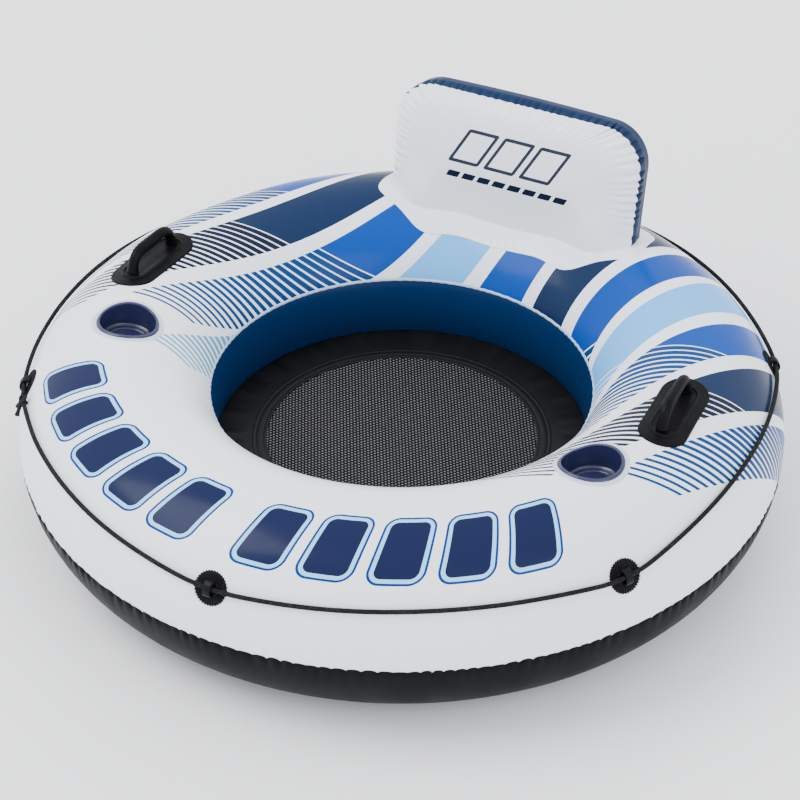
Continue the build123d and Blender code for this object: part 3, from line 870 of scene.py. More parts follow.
def dish_height(radius, _):
    """A shallow dish: the sag times the cosine from the middle to the edge."""
    return mesh_top - MESH_SAG * np.cos(radius / MESH_EDGE * pi / 2)


mesh_points = radial_grid(np.linspace(0.0, MESH_EDGE, MESH_RINGS), MESH_COLUMNS, dish_height)
mesh_uv = {"UVMap": unit_uv(MESH_RINGS, MESH_COLUMNS + 1)}
panel_mesh = weld(grid_mesh("mesh_panel_sheet", mesh_points, close_v=True, uvs=mesh_uv))
mesh_panel = new_object("mesh_panel_sheet", panel_mesh, knit.material)
on_tube(mesh_panel, "black_mesh", "mesh_panel")
print("mesh panel", round(2 * MESH_EDGE, 3), "m across, sags", 1000 * MESH_SAG, "mm")

# %% [markdown]
# ## Backrest
# The backrest is a small pillow of its own: a white front panel and a navy back whose
# sides wrap round to meet it, welded together in a seam that puckers. It's one closed
# surface: rings run from the middle of the front out to the seam, back over the side,
# and in to the middle of the back. A ring's depth comes from its distance to the
# outline, so the edge is round and the middle is nearly flat, as an inflated pillow with
# inner ties is. A cloth simulation would round the form well, but it leaves the seam's
# puckers to chance.

# %% Backrest frame
BACKREST_LEAN = radians(10)
BACKREST_Y = 0.458
HALF_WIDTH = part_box("backrest_shell")[1][0]
BACKREST_TOP = 0.214
CORNER_RADIUS, FOOT_RADIUS = 0.076, 0.03
HALF_DEPTH = 0.054
SEAM_DEPTH = 0.016
SEAM_INSET = 0.001
OUTLINE_FOOT = -0.050
back_frame = (
    np.array([1.0, 0.0, 0.0]),
    np.array([0.0, sin(BACKREST_LEAN), cos(BACKREST_LEAN)]),
    np.array([0.0, -cos(BACKREST_LEAN), sin(BACKREST_LEAN)]),
    np.array([0.0, BACKREST_Y, CROWN_HEIGHT]),
)


def rounded_outline(half_width, low, high, round_low, round_high, count):
    """Evenly spaced x and y round a box with four arcs as corners, and its length."""
    dense = []
    corners = (
        (half_width - round_low, low + round_low, round_low, -90),
        (half_width - round_high, high - round_high, round_high, 0),
        (round_high - half_width, high - round_high, round_high, 90),
        (round_low - half_width, low + round_low, round_low, 180),
    )
    for x, y, radius, first in corners:
        turn = np.radians(np.linspace(first, first + 90, 60))
        dense.append(np.stack([x + radius * np.cos(turn), y + radius * np.sin(turn)], axis=-1))
    dense = np.concatenate(dense)
    dense = np.concatenate([dense, dense[:1]])
    length = np.append(0, np.cumsum(np.linalg.norm(np.diff(dense, axis=0), axis=1)))
    even = np.linspace(0, length[-1], count, endpoint=False)
    return np.stack([np.interp(even, length, dense[:, k]) for k in (0, 1)], axis=-1), length[-1]


# %% Backrest outline and the wave of its seam
PUCKER_PITCH = 0.0165
BACK_COLUMNS = 880
PILLOW_MIDDLE = np.array([0.0, 0.085])
CREST_HEIGHT = 0.006
outline, outline_length = rounded_outline(
    HALF_WIDTH - SEAM_INSET, OUTLINE_FOOT, BACKREST_TOP - SEAM_INSET,
    FOOT_RADIUS, CORNER_RADIUS, BACK_COLUMNS,
)
outward = outline - PILLOW_MIDDLE
outward = outward / np.linalg.norm(outward, axis=1)[:, None]
run = np.linspace(0, 2 * pi, BACK_COLUMNS, endpoint=False)
waves = round(outline_length / PUCKER_PITCH)
seam_phase = waves * run + 1.6 * np.sin(9 * run) + np.sin(23 * run)
seam_wave = (1.6 * np.abs(np.sin(seam_phase / 2)) - 1) * (0.8 + 0.3 * np.sin(37 * run + 0.5))
in_corner = smoothstep(np.abs(outline[:, 0]), 0.12, 0.20) * smoothstep(outline[:, 1], 0.02, 0.10)
seam_wave *= 0.6 + 0.9 * in_corner
crest = CREST_HEIGHT * (1 - (outline[:, 0] / HALF_WIDTH) ** 2)
crest = crest * smoothstep(outline[:, 1], 0.12, BACKREST_TOP)
print("backrest seam", round(outline_length, 2), "m round with", waves, "puckers")

# %% Backrest depth
SEAM_SWELL, SEAM_SWING, SEAM_REACH = 0.0032, 0.0036, 0.015
FRONT_ROUND, BACK_ROUND = 0.062, 0.046
FRONT_CROWN, BACK_CROWN = 0.003, 0.004


def inside_distance(x, y):
    """Distance in from the outline, by the rounded box formula."""
    half_height = (BACKREST_TOP - OUTLINE_FOOT) / 2
    middle = (BACKREST_TOP + OUTLINE_FOOT) / 2
    corner = np.where(y > middle, CORNER_RADIUS, FOOT_RADIUS)
    qx = np.abs(x) - HALF_WIDTH + corner
    qy = np.abs(y - middle) - half_height + corner
    out = np.hypot(np.maximum(qx, 0), np.maximum(qy, 0)) + np.minimum(np.maximum(qx, qy), 0)
    return np.maximum(corner - out, 0)


def front_depth(inset):
    """Front: a round edge, then a slow crown."""
    edge = 1 - (1 - np.clip(inset / FRONT_ROUND, 0, 1)) ** 2.4
    crown = FRONT_CROWN * smoothstep(inset, 0.04, 0.13)
    return SEAM_DEPTH + (HALF_DEPTH - SEAM_DEPTH - FRONT_CROWN) * np.sqrt(edge) + crown


def back_depth(inset):
    """Back: the side runs straight back, then turns in round its edge."""
    edge = 1 - (1 - np.clip(inset / BACK_ROUND, 0, 1)) ** 2
    crown = BACK_CROWN * smoothstep(inset, 0.05, 0.13)
    return -(HALF_DEPTH - BACK_ROUND) - BACK_ROUND * np.sqrt(edge) + crown


# %% Backrest rings: the front, the side and the back
WAIST_PLACE, WAIST_WIDTH = 0.178, 0.05
WAIST_OUT, FOOT_IN = 0.008, 0.012
SIDE_BULGE = 0.0016


def front_ring(share):
    """A ring of the front: a share of the outline, its depth, its puckers and its foot."""
    flat = PILLOW_MIDDLE + (outline - PILLOW_MIDDLE) * share
    inset = inside_distance(flat[:, 0], flat[:, 1])
    near = np.exp(-inset / SEAM_REACH)
    flat = flat + outward * (SEAM_SWING * seam_wave * near)[:, None]
    depth = front_depth(inset) + SEAM_SWELL * seam_wave * near
    foot = smoothstep(-flat[:, 1], -0.085, 0.015)
    waist = peak(np.abs(flat[:, 0]) - WAIST_PLACE, WAIST_WIDTH)
    front = smoothstep(depth, SEAM_DEPTH, SEAM_DEPTH + 0.02)
    return flat, depth + foot * front * (WAIST_OUT * waist - FOOT_IN * (1 - waist))


def side_ring(back):
    """A ring of the side: the outline with puckers that fade, and a bulge half way."""
    fade = 1 - back
    bulge = SIDE_BULGE * sin(pi * back)
    flat = outline + outward * (SEAM_SWING * seam_wave * fade**2 + bulge)[:, None]
    flat[:, 1] += crest * sin(pi / 2 * back)
    depth = SEAM_DEPTH - (SEAM_DEPTH + HALF_DEPTH - BACK_ROUND) * back
    return flat, depth + SEAM_SWELL * seam_wave * fade


def back_ring(share):
    """A ring of the back: a share of the outline and its depth."""
    flat = PILLOW_MIDDLE + (outline - PILLOW_MIDDLE) * share
    depth = back_depth(inside_distance(flat[:, 0], flat[:, 1]))
    flat[:, 1] += crest * share
    return flat, depth


shares_in = 1 - np.linspace(0, 1, 46) ** 1.9
rings = [front_ring(share) for share in shares_in[::-1]]
front_rings = len(rings) - 1
rings += [side_ring(back) for back in np.linspace(0, 1, 9)[1:]]
rings += [back_ring(share) for share in shares_in[1:]]

# %% Backrest points, moved out to the ring's skin
SKIN_GAP = 0.0008
flats = np.array([flat for flat, _ in rings])
depths = np.array([depth for _, depth in rings])
pillow_points = placed(back_frame, flats[..., 0], flats[..., 1], depths)
around = np.hypot(pillow_points[..., 0], pillow_points[..., 1])
beyond, above = around - RING_RADIUS, pillow_points[..., 2] - AXIS_HEIGHT
section = np.hypot(beyond, above)
push = np.maximum(SECTION_RADIUS - SKIN_GAP - section, 0)
pillow_points[..., 0] += push * beyond / section * pillow_points[..., 0] / around
pillow_points[..., 1] += push * beyond / section * pillow_points[..., 1] / around
pillow_points[..., 2] += push * above / section

# %% [markdown]
# The front panel carries a print: three slanted open bars over a row of small ones. It
# is drawn in the panel's own plane, kept as a UV map, so it leans with the pillow.

# %% Backrest materials, in millimetres of the panel
EMBLEM_SLANT = 0.55
EMBLEM_Y, SMALL_Y = 121.0, 62.0
BAR_PITCH, BAR_HALF_WIDTH, BAR_HALF_HEIGHT, BAR_ROUND = 72.0, 31.0, 35.0, 5.0
SMALL_PITCH, SMALL_HALF_WIDTH, SMALL_HALF_HEIGHT, SMALL_ROUND = 31.0, 12.0, 6.5, 2.0
BAR_WALL = 7.0
SMALL_REACH = 124.0
front_film = film("backrest_front_film", WHITE, roughness=0.22)
panel_x, panel_y, _ = front_film.axes(front_film.place(layer="Panel"))
panel_x, panel_y = panel_x * MM, panel_y * MM
bar_y = panel_y - EMBLEM_Y
bar_rings = ((0.0, INK), (-BAR_WALL, WHITE))
for centre in (-BAR_PITCH, 0.0, BAR_PITCH):
    bar_x = panel_x - bar_y * EMBLEM_SLANT - centre
    for mask, colour in badge_rings(
        bar_x, bar_y, BAR_HALF_WIDTH, BAR_HALF_HEIGHT, bar_rings, BAR_ROUND
    ):
        front_film.paint(mask, colour)
small_y = panel_y - SMALL_Y
small_x = panel_x - small_y * EMBLEM_SLANT
small_cell = ((small_x * (1 / SMALL_PITCH)).math("FLOORED_MODULO", 1.0) - 0.5) * SMALL_PITCH
for mask, colour in badge_rings(
    small_cell, small_y, SMALL_HALF_WIDTH, SMALL_HALF_HEIGHT, ((0.0, INK),), SMALL_ROUND
):
    front_film.paint(mask * small_x.math("ABSOLUTE").below(SMALL_REACH), colour)
navy_film = film("backrest_navy_film", NAVY, roughness=0.4, gloss=0.05)

# %% Backrest pillow
pillow_uv = unit_uv(len(rings), BACK_COLUMNS + 1)
panel_uv = np.concatenate([flats, flats[:, :1]], axis=1)
pillow_mesh = grid_mesh(
    "backrest_pillow", pillow_points, close_v=True, uvs={"UVMap": pillow_uv, "Panel": panel_uv}
)
ring_of_face = np.repeat(np.arange(len(rings) - 1), BACK_COLUMNS)
pillow_mesh.polygons.foreach_set("material_index", (ring_of_face >= front_rings).astype(np.int32))
weld(pillow_mesh)
backrest = new_object("backrest_pillow", pillow_mesh, front_film.material, navy_film.material)
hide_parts("backrest_front", "backrest_shell", "backrest_seam")
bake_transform(backrest)
print("pillow", len(rings), "rings of", BACK_COLUMNS)

# %% [markdown]
# The pillow's foot is welded to the ring by a wide white flange, cut with a wavy front
# edge. It lies on the skin like a sticker, so it is a thin patch of the ring formula.

# %% Backrest flange
FLANGE_HALF_WIDTH = 0.269
FLANGE_FRONT = 0.384
FLANGE_BACK = 0.534
FLANGE_MIDDLE = 0.462
FLANGE_SQUARENESS = 5.0
FLANGE_COLUMNS = 480
FLANGE_THICKNESS = 0.0009
LOBE_PLACE, LOBE_WIDTH, LOBE_DEPTH = 0.150, 0.048, 0.021
HOLE_ALONG, HOLE_ACROSS = 0.78, 0.45  # the inner edge as a share of the outer one


def flange_patch(shares, columns):
    """Plan x and y of rings: a squarish oval with two lobes in front, and shares of it."""
    turn = np.linspace(0, 2 * pi, columns, endpoint=False)
    cosine, sine = np.cos(turn), np.sin(turn)
    half = np.where(sine < 0, FLANGE_MIDDLE - FLANGE_FRONT, FLANGE_BACK - FLANGE_MIDDLE)
    power = FLANGE_SQUARENESS
    reach = np.abs(cosine / FLANGE_HALF_WIDTH) ** power + np.abs(sine / half) ** power
    reach = reach ** (-1 / power)
    x, y = reach * cosine, FLANGE_MIDDLE + reach * sine
    lobe = peak(np.abs(x) - LOBE_PLACE, LOBE_WIDTH)
    y = y - LOBE_DEPTH * lobe * smoothstep(-sine, 0.0, 0.25)
    inner_x, inner_y = x * HOLE_ALONG, FLANGE_MIDDLE + (y - FLANGE_MIDDLE) * HOLE_ACROSS
    share = np.asarray(shares)[:, None]
    return inner_x + (x - inner_x) * share, inner_y + (y - inner_y) * share


flange_shares = np.append(np.linspace(0, 1, 40), (1.0,))
flange_x, flange_y = flange_patch(flange_shares, FLANGE_COLUMNS)
flange_radius = np.hypot(flange_x, flange_y)
flange_level = np.arccos((flange_radius - RING_RADIUS) / SECTION_RADIUS)
flange_lift = np.full(flange_level.shape, FLANGE_THICKNESS)
flange_lift[-2], flange_lift[-1] = 0.0007, -0.0002
flange_lift = flange_lift + 0.0004 * np.sin(30 * np.arctan2(flange_y - FLANGE_MIDDLE, flange_x))
flange_points = on_ring(np.arctan2(flange_y, flange_x), flange_level, flange_lift)
flange_uv = {"UVMap": unit_uv(len(flange_shares), FLANGE_COLUMNS + 1)}
flange_mesh = grid_mesh("backrest_flange", flange_points, close_v=True, uvs=flange_uv)
flange_film = film("flange_film", WHITE, roughness=0.2, soft=0.0012)
backrest_flange = new_object("backrest_flange", flange_mesh, flange_film.material)
on_tube(backrest_flange, "white_film", "backrest_skirt")
print("flange", round(2 * FLANGE_HALF_WIDTH, 3), "by", round(FLANGE_BACK - FLANGE_FRONT, 3), "m")

# %% [markdown]
# ## Cup holders
# A cup is moulded in one piece and welded into a hole in the top sheet by a clear ring.
# Each is a turned profile about the normal of the skin. A Screw modifier would turn it
# too, but the rim has to follow the saddle of the skin, so the upper points of the
# profile add the skin's height there.

# %% Cup profiles
CUP_DEPTH = 0.042
CUP_EDGE = 0.0554
WELD_EDGE = 0.0634
# radius, height, and 1 where the height is over the skin, from the floor's middle out
CUP_PROFILE = np.array([
    (0.0000, -CUP_DEPTH, 0), (0.0180, -CUP_DEPTH, 0), (0.0360, -CUP_DEPTH, 0),
    (0.0368, -0.0412, 0), (0.0378, -0.0412, 0), (0.0386, -0.0418, 0), (0.0430, -0.0418, 0),
    (0.0455, -0.0408, 0), (0.0474, -0.0388, 0), (0.0482, -0.0358, 0), (0.0484, -0.0280, 0),
    (0.0486, -0.0180, 0), (0.0487, -0.0120, 0), (0.0488, 0.0004, 1), (0.0489, 0.0018, 1),
    (0.0494, 0.0029, 1), (0.0504, 0.0035, 1), (0.0520, 0.0036, 1), (0.0534, 0.0034, 1),
    (0.0545, 0.0026, 1), (0.0551, 0.0016, 1), (CUP_EDGE, 0.0003, 1),
])
WELD_PROFILE = np.array([
    (CUP_EDGE - 0.0005, 0.0007, 1), (0.0572, 0.0008, 1), (0.0584, 0.0005, 1), (0.0596, 0.0008, 1),
    (0.0620, 0.0007, 1), (0.0630, 0.0006, 1), (WELD_EDGE, -0.0001, 1),
])


# %% Cups
CUP_COLUMNS = 160
CUP_SEAM_TURN, CUP_SEAM_WIDTH, CUP_SEAM_HEIGHT = -2.0, 0.03, 0.0007


def finer(profile, times):
    """The same profile with more points on each run."""
    at = np.linspace(0, len(profile) - 1, (len(profile) - 1) * times + 1)
    return np.stack([np.interp(at, np.arange(len(profile)), column) for column in profile.T], -1)


def turned_on_skin(name, frame_axes, profile):
    """Turn a profile about a frame's normal; marked points ride on the skin's height.

    The wall has a mould seam: a ridge that falls off with the turn away from it."""
    turn = np.linspace(0, 2 * pi, CUP_COLUMNS, endpoint=False)[None, :]
    gap = np.angle(np.exp(1j * (turn - CUP_SEAM_TURN)))
    wall = smoothstep(profile[:, :1], 0.040, 0.047) * (profile[:, 2:] < 0.5)
    radius = profile[:, :1] - CUP_SEAM_HEIGHT * wall * peak(gap, CUP_SEAM_WIDTH)
    x, y = radius * np.cos(turn), radius * np.sin(turn)
    z = profile[:, 1:2] + profile[:, 2:] * skin_height(frame_axes, x, y)
    points = placed(frame_axes, x, y, z)
    uv = {"UVMap": unit_uv(len(profile), CUP_COLUMNS + 1)}
    return weld(grid_mesh(name, points, close_v=True, uvs=uv))


cup_plastic = Finish("cup_plastic", (0.016, 0.019, 0.062), 0.16, coat=0.25, specular=0.4)
cup_plastic.bump(cup_plastic.noise(30.0, 2.0), 0.0008)
cup_plastic.vary_roughness(cup_plastic.noise(40.0, 3.0), 0.12, 0.24)
cup_plastic.bump(cup_plastic.noise(700.0, 1.0), 0.00003)
weld_film = film("weld_film", (0.55, 0.60, 0.70), roughness=0.18)
for side, axes in cup_frames.items():
    mesh = turned_on_skin(f"cup_{side}", axes, finer(CUP_PROFILE, 4))
    cup = new_object(f"cup_{side}", mesh, cup_plastic.material)
    on_tube(cup, "cup_plastic", f"cup_holder_{side}")
    mesh = turned_on_skin(f"cup_flange_{side}", axes, finer(WELD_PROFILE, 2))
    flange = new_object(f"cup_flange_{side}", mesh, weld_film.material)
    on_tube(flange, "clear_film", f"cup_weld_{side}")
    print("cup", side, "at", [round(float(value), 3) for value in axes[3]])

# %% [markdown]
# ## Handles
# A handle is a moulded rubber plate with a raised oval lip and an arched bar. The plate
# is a grid of stadium rings about the line between its two end centres, laid over the
# skin's height. A Shrinkwrap could lay a flat plate there too, but the formula keeps its
# thickness even. The bar is a tube that flares into the plate at both feet.

# %% Handle sizes and rubber
HANDLE_CIRCLE_RADIUS = 0.510
HANDLE_TURN = radians(3.6)
PLATE_LENGTH, PLATE_WIDTH, PLATE_THICKNESS = 0.195, 0.084, 0.0035
PLATE_EDGE = np.array([0.0, 0.0022, 0.0031, PLATE_THICKNESS - 0.0001])  # heights round its edge
PLATE_COLUMNS = 240
LIP_LENGTH, LIP_WIDTH, LIP_WALL, LIP_HEIGHT = 0.152, 0.052, 0.004, 0.0025
DISH_DEPTH, DISH_RUN = 0.0014, 0.012
GROOVE_INSET, GROOVE_WIDTH, GROOVE_DEPTH = 0.0065, 0.0008, 0.0004
GRIP_RADIUS, GRIP_HEIGHT, GRIP_HALF_SPAN = 0.0095, 0.040, 0.060
GRIP_RINGS, GRIP_SIDES = 121, 40
GRIP_FOOT = 0.0005
GRIP_FLARE, FLARE_RUN = 0.42, 0.006
MOULD_LINE, MOULD_LINE_WIDTH = 0.022, 0.10
rubber = Finish("handle_rubber", (0.0022, 0.0022, 0.0025), 0.36, specular=0.09)
rubber.bump(rubber.noise(60.0, 3.0), 0.0004)
rubber.bump(rubber.noise(1400.0, 2.0), 0.00006)
rubber.vary_roughness(rubber.noise(24.0, 4.0), 0.34, 0.52)


# %% Handles
def stadium_rings(length, width, insets, columns):
    """Rings of a stadium: its middle line plus a share of the way out to its edge."""
    half, straight = width / 2, (length - width) / 2
    edge, _ = rounded_outline(half, -length / 2, length / 2, half, half, columns)
    spine = np.clip(edge[:, 1], -straight, straight)
    radius = (half - np.asarray(insets)[:, None]) / half
    return radius * edge[:, 0], spine + radius * (edge[:, 1] - spine)


def stadium_distance(x, y, length, width):
    """Distance in from a stadium's edge: half its width less the way to its middle line."""
    over = np.maximum(np.abs(y) - (length - width) / 2, 0)
    return width / 2 - np.hypot(x, over)


def handle_plate(name, axes):
    """Plate height over the skin: its thickness, a lip, a dish in it and an edge groove."""
    insets = np.concatenate([[0, 0, 0.0004, 0.0012], np.linspace(0.002, PLATE_WIDTH / 2, 78)])
    x, y = stadium_rings(PLATE_LENGTH, PLATE_WIDTH, insets, PLATE_COLUMNS)
    lip = stadium_distance(x, y, LIP_LENGTH, LIP_WIDTH)
    ridge = smoothstep(lip, -0.0006, 0.0012)
    ridge = ridge * (1 - smoothstep(lip, LIP_WALL - 0.001, LIP_WALL + 0.0012))
    dish = smoothstep(lip, LIP_WALL, LIP_WALL + DISH_RUN)
    groove = peak(insets[:, None] - GROOVE_INSET, GROOVE_WIDTH)
    top = PLATE_THICKNESS + LIP_HEIGHT * ridge - DISH_DEPTH * dish - GROOVE_DEPTH * groove
    top[: len(PLATE_EDGE)] = PLATE_EDGE[:, None]
    points = placed(axes, x, y, skin_height(axes, x, y) + top)
    uv = {"UVMap": unit_uv(len(insets), PLATE_COLUMNS + 1)}
    return weld(grid_mesh(name, points, close_v=True, flip=True, uvs=uv))


def handle_bar(name, axes):
    """Bar along a squarish arch, height = (1 - share ** 5.2) ** 0.62, flared at its feet."""
    share = np.linspace(-1, 1, GRIP_RINGS)
    bar_y = GRIP_HALF_SPAN * np.sign(share) * (1 - (1 - np.abs(share)) ** 1.35) * 0.995
    rise = (1 - np.abs(bar_y / GRIP_HALF_SPAN) ** 5.2) ** 0.62
    bar_z = GRIP_FOOT + (GRIP_HEIGHT - GRIP_FOOT) * rise
    path = placed(axes, np.zeros(GRIP_RINGS), bar_y, bar_z)
    flare = 1 + GRIP_FLARE * np.exp(-bar_z / FLARE_RUN)
    return tube_mesh(
        name, path, GRIP_RADIUS * flare, GRIP_SIDES,
        lambda ring, turn: 1 + MOULD_LINE * peak(np.cos(turn), MOULD_LINE_WIDTH),
    )


for side, sign in (("right", 1), ("left", -1)):
    along = np.array([-sign * sin(HANDLE_TURN), cos(HANDLE_TURN), 0.0])
    axes = (
        np.array([along[1], -along[0], 0.0]),
        along,
        np.array([0.0, 0.0, 1.0]),
        np.array([sign * HANDLE_CIRCLE_RADIUS, 0.0, CROWN_HEIGHT]),
    )
    name = f"handle_plate_{side}"
    plate = new_object(name, handle_plate(name, axes), rubber.material)
    on_tube(plate, "black_rubber", f"handle_base_{side}")
    name = f"handle_bar_{side}"
    bar = new_object(name, handle_bar(name, axes), rubber.material)
    on_tube(bar, "black_rubber", f"handle_grip_{side}")
    print("handle", side, len(plate.data.polygons), "+", len(bar.data.polygons), "faces")

# %% [markdown]
# ## Rope holders
# A holder is a round rubber base with fine radial ribs and a toothed edge, and a bridge
# that the rope runs under. Ribs could be separate bars, but here teeth and ribs are
# cosines of the angle in the base's own grid, so they run out softly as moulded ones do.

# %% Holder sizes and rubber
HOLDER_NAMES = ("front", "front_right", "rear_right", "rear", "rear_left", "front_left")
HOLDER_LEVEL = radians(28.2)
HOLDER_RADIUS, HOLDER_THICKNESS = 0.0285, 0.0032
HOLDER_RIBS, RIB_COLUMNS = 36, 8
TOOTH_HEIGHT, TOOTH_START = 0.0008, 0.027
RIB_DEPTH, RIB_START, RIB_FULL = 0.0017, 0.0135, 0.0155
STEP_HEIGHT, STEP_PLACE, STEP_WIDTH = 0.0005, 0.0130, 0.0007
EDGE_DROP, EDGE_START = 0.0006, 0.026
BRIDGE_HALF_SPAN, BRIDGE_RISE, BRIDGE_FOOT, BRIDGE_HALF_WIDTH = 0.0112, 0.0132, 0.0008, 0.0063
BRIDGE_WALL, BRIDGE_WALL_AT_FOOT = 0.0016, 0.0012
BRIDGE_ROUND = 0.36  # power of the section: 1 is an ellipse and near 0 a box
ARCH_POINTS, SECTION_POINTS = 49, 28
holder_rubber = Finish("holder_rubber", (0.003, 0.003, 0.0034), 0.40, specular=0.13)
holder_rubber.bump(holder_rubber.noise(1200.0, 2.0), 0.00006)
holder_rubber.vary_roughness(holder_rubber.noise(50.0, 3.0), 0.3, 0.5)


# %% Rope holders
def holder_base(name, axes):
    """Disc height over the skin: its thickness less the ribs and the edge, plus a step."""
    radii = np.append(
        np.linspace(0, HOLDER_RADIUS - TOOTH_HEIGHT, 34), (HOLDER_RADIUS, HOLDER_RADIUS)
    )[:, None]
    columns = HOLDER_RIBS * RIB_COLUMNS
    turn = np.linspace(0, 2 * pi, columns, endpoint=False)[None, :]
    radius = radii + TOOTH_HEIGHT * np.cos(HOLDER_RIBS * turn) * (radii > TOOTH_START)
    rib = smoothstep(radii, RIB_START, RIB_FULL) * (0.5 - 0.5 * np.cos(HOLDER_RIBS * turn))
    height = HOLDER_THICKNESS - RIB_DEPTH * rib
    height = height + STEP_HEIGHT * peak(radii - STEP_PLACE, STEP_WIDTH)
    height = height - EDGE_DROP * smoothstep(radii, EDGE_START, HOLDER_RADIUS)
    height[-1] = 0.0
    x, y = radius * np.cos(turn), radius * np.sin(turn)
    points = placed(axes, x, y, skin_height(axes, x, y) + height)
    uv = {"UVMap": unit_uv(len(radii), columns + 1)}
    return weld(grid_mesh(name, points, close_v=True, uvs=uv))


def power_wave(wave):
    """A wave with its sign kept and its size raised to the section's power."""
    return np.sign(wave) * np.abs(wave) ** BRIDGE_ROUND


def holder_bridge(name, axes):
    """A squarish section carried over an arch, thicker and wider towards its feet."""
    arch = np.linspace(0, pi, ARCH_POINTS)[:, None]
    turn = np.linspace(0, 2 * pi, SECTION_POINTS, endpoint=False)[None, :]
    out = (BRIDGE_WALL + BRIDGE_WALL_AT_FOOT * np.cos(arch) ** 2) * power_wave(np.cos(turn))
    x = BRIDGE_HALF_WIDTH * power_wave(np.sin(turn)) * (1 + 0.25 * np.cos(arch) ** 4)
    y = BRIDGE_HALF_SPAN * np.cos(arch) + np.cos(arch) * out
    z = BRIDGE_RISE * np.sin(arch) ** 0.55 + BRIDGE_FOOT + np.sin(arch) * out
    uv = {"UVMap": unit_uv(ARCH_POINTS, SECTION_POINTS + 1)}
    return grid_mesh(name, placed(axes, x, y, z), close_v=True, uvs=uv)


for number, name in enumerate(HOLDER_NAMES):
    axes = skin_frame(radians(-90 + 60 * number), HOLDER_LEVEL)
    mesh = holder_base(f"holder_{name}", axes)
    base = new_object(f"holder_{name}", mesh, holder_rubber.material)
    on_tube(base, "black_rubber", f"rope_holder_{name}")
    mesh = holder_bridge(f"bridge_{name}", axes)
    bridge = new_object(f"bridge_{name}", mesh, holder_rubber.material)
    bridge.parent = base
print(len(HOLDER_NAMES), "rope holders of", HOLDER_RIBS, "ribs")

# %% [markdown]
# ## Grab rope
# The rope is held all round, so it is a part of the object and not a free cord. Its
# route is the one in the CAD: at each point, the angle round the ring, the level up the
# skin and the lift off it. A NURBS spline runs through them, and the rope's mesh follows
# points read back from that spline. It's a laid rope: three lobes wind along the tube.

# %% Rope route
ROPE_DIAMETER = 0.0075
ROPE_ROUTE = [
    (-143.6, 30.0, 9.5), (-139, 31.0, 8), (-132, 32.0, 8), (-122, 32.6, 8),
    (-111, 31.6, 8), (-100, 30.0, 8), (-90, 27.6, 11), (-80, 29.6, 8),
    (-70, 31.0, 8), (-60, 31.8, 8), (-50, 31.4, 8), (-40, 30.0, 8),
    (-30, 26.6, 11), (-20, 33.0, 8), (-10, 36.8, 8), (0, 38.2, 8),
    (10, 37.0, 8), (20, 33.2, 8), (30, 26.4, 11), (40, 31.6, 8),
    (50, 34.2, 8), (60, 35.0, 8), (70, 33.8, 8), (80, 31.2, 8),
    (90, 27.2, 11), (100, 31.0, 8), (110, 33.6, 8), (120, 34.8, 8),
    (130, 34.0, 8), (140, 31.6, 8), (150, 26.9, 11), (160, 31.8, 8),
    (170, 34.4, 8), (180, 35.2, 8), (190, 33.6, 8), (199, 31.2, 8),
    (205, 29.6, 8), (210, 27.9, 8.4), (213.4, 28.8, 9.5),
]
ROPE_PITCH, ROPE_STEP = 0.0165, 0.0020
ROPE_SIDES = 20
STRAND_LOW, STRAND_RISE = 0.84, 0.27  # a lobed section, as shares of the rope's radius


# %% Rope
def spline_points(name, route):
    """Points along a NURBS spline whose control points are the route."""
    curve = bpy.data.curves.new(name, "CURVE")
    curve.dimensions = "3D"
    curve.resolution_u = 24
    spline = curve.splines.new("NURBS")
    spline.points.add(len(route) - 1)
    for point, spot in zip(spline.points, route):
        point.co = (*spot, 1)
    spline.order_u = 3
    spline.use_endpoint_u = True
    guide = bpy.data.objects.new(name, curve)
    scene.collection.objects.link(guide)
    mesh = bpy.data.meshes.new_from_object(guide)
    found = vertex_places(mesh)
    bpy.data.objects.remove(guide)
    bpy.data.meshes.remove(mesh)
    return found


def even_path(points, step):
    """The same path with points an even step apart, and its length."""
    length = np.append(0, np.cumsum(np.linalg.norm(np.diff(points, axis=0), axis=1)))
    at = np.linspace(0, length[-1], round(length[-1] / step) + 1)
    return np.stack([np.interp(at, length, points[:, k]) for k in range(3)], axis=-1), length[-1]


def strands(lay, low=STRAND_LOW, rise=STRAND_RISE):
    """Three lobes round the section, |cos| of one and a half turns, that wind by the lay."""
    return lambda ring, turn: low + rise * np.abs(np.cos(1.5 * (turn - lay * ring)))


route = [
    on_ring(radians(angle), radians(level), lift / MM) for angle, level, lift in ROPE_ROUTE
]
rope_path, rope_length = even_path(spline_points("rope_guide", route), ROPE_STEP)
rope_lay = strands(2 * pi * ROPE_STEP / ROPE_PITCH)
rope_mesh = tube_mesh("grab_rope_laid", rope_path, ROPE_DIAMETER / 2, ROPE_SIDES, rope_lay)
rope_fibre = Finish("rope_fibre", (0.0045, 0.0045, 0.0052), 0.72, specular=0.15)
rope_fibre.bump(rope_fibre.noise(1500.0, 2.0), 0.0003)
rope_fibre.paint(rope_fibre.noise(420.0, 2.0).above(0.60), (0.03, 0.03, 0.033))
grab_rope = new_object("grab_rope_laid", rope_mesh, rope_fibre.material)
on_tube(grab_rope, "black_rope", "grab_rope")
print("rope", round(rope_length, 3), "m,", len(rope_path), "rings")

# %% [markdown]
# The rope's two ends meet in a knot with two short frayed tails. It could be a lump with
# a noise on it, but a knot shows how its rope runs. So it is drawn as a trefoil, which
# is the closed form of an overhand knot, stretched along the rope.

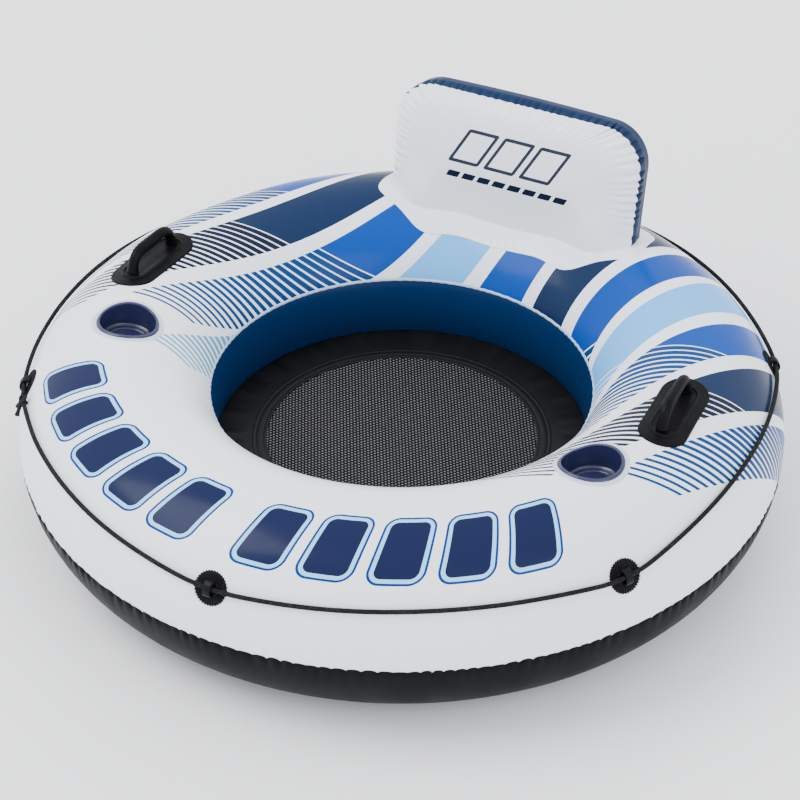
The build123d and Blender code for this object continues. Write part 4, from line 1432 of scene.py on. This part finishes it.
# %% Knot
KNOT_HALF_LENGTH, KNOT_RADIUS, KNOT_ROPE_RADIUS = 0.00945, 0.00165, 0.00345
knot_axis = (route[-1] - route[0]) / np.linalg.norm(route[-1] - route[0])
knot_middle = (route[0] + route[-1]) / 2
knot_angle = (ROPE_ROUTE[0][0] + ROPE_ROUTE[-1][0] - 360) / 2
knot_up = skin_frame(radians(knot_angle), HOLDER_LEVEL)[1]
knot_out = np.cross(knot_axis, knot_up)
turn = np.linspace(0, 2 * pi, 240)
swing = KNOT_RADIUS * (2 + np.cos(3 * turn))
knot_path = knot_middle + (
    (KNOT_HALF_LENGTH * np.sin(3 * turn))[:, None] * knot_axis
    + (swing * np.cos(2 * turn))[:, None] * knot_up
    + (swing * np.sin(2 * turn))[:, None] * knot_out
)
knot_mesh = tube_mesh(
    "rope_knot_laid", knot_path, KNOT_ROPE_RADIUS, 18, strands(0.3, low=0.88, rise=0.14)
)
knot = new_object("rope_knot_laid", knot_mesh, rope_fibre.material)
on_tube(knot, "black_rope", "rope_knot")

# %% Knot tails
TAILS = ((-0.35, 0.030), (0.5, 0.026))  # lean along the rope, and length
TAIL_RINGS, FRAY_RING = 40, 28
TAIL_RADIUS, TAIL_SWELL, TAIL_BOW = 0.00345, 0.28, 0.0015
tail_lay = strands(0.28, low=0.86, rise=0.17)


def frayed(ring, turn):
    """The rope's strands, with seven loose fibres towards the end."""
    return tail_lay(ring, turn) + 0.10 * np.cos(7 * turn) * (ring > FRAY_RING)


for number, (lean, length) in enumerate(TAILS, 1):
    way = lean * knot_axis - knot_up
    way = way / np.linalg.norm(way)
    share = np.linspace(0, 1, TAIL_RINGS)[:, None]
    path = knot_middle + way * length * share - knot_out * TAIL_BOW * np.sin(3 * share)
    radius = TAIL_RADIUS * (1 + TAIL_SWELL * smoothstep(share[:, 0], 0.72, 1.0))
    mesh = tube_mesh(f"rope_tail_{number}", path, radius, ROPE_SIDES, frayed)
    tail = new_object(f"rope_tail_{number}", mesh, rope_fibre.material)
    tail.parent = knot
print("knot with", len(TAILS), "tails")

# %% [markdown]
# ## Valves
# The tube and the backrest each have a valve: a seat, a stem, a flap and a cap that all
# move. They are hard little mouldings with a true shape already, so the CAD's own meshes
# stay and get a moulded plastic finish.

# %% Valves
valve_plastic = Finish("valve_plastic", (0.74, 0.76, 0.80), 0.32, coat=0.15)
valve_plastic.bump(valve_plastic.noise(160.0, 3.0), 0.00025)
valve_plastic.vary_roughness(valve_plastic.noise(90.0, 3.0), 0.26, 0.42)
valve_nodes = [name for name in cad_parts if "_valve_" in name]
for node in valve_nodes:
    part = bpy.data.objects[node]
    part.data.materials.clear()
    part.data.materials.append(valve_plastic.material)
print(len(valve_nodes), "valve parts")
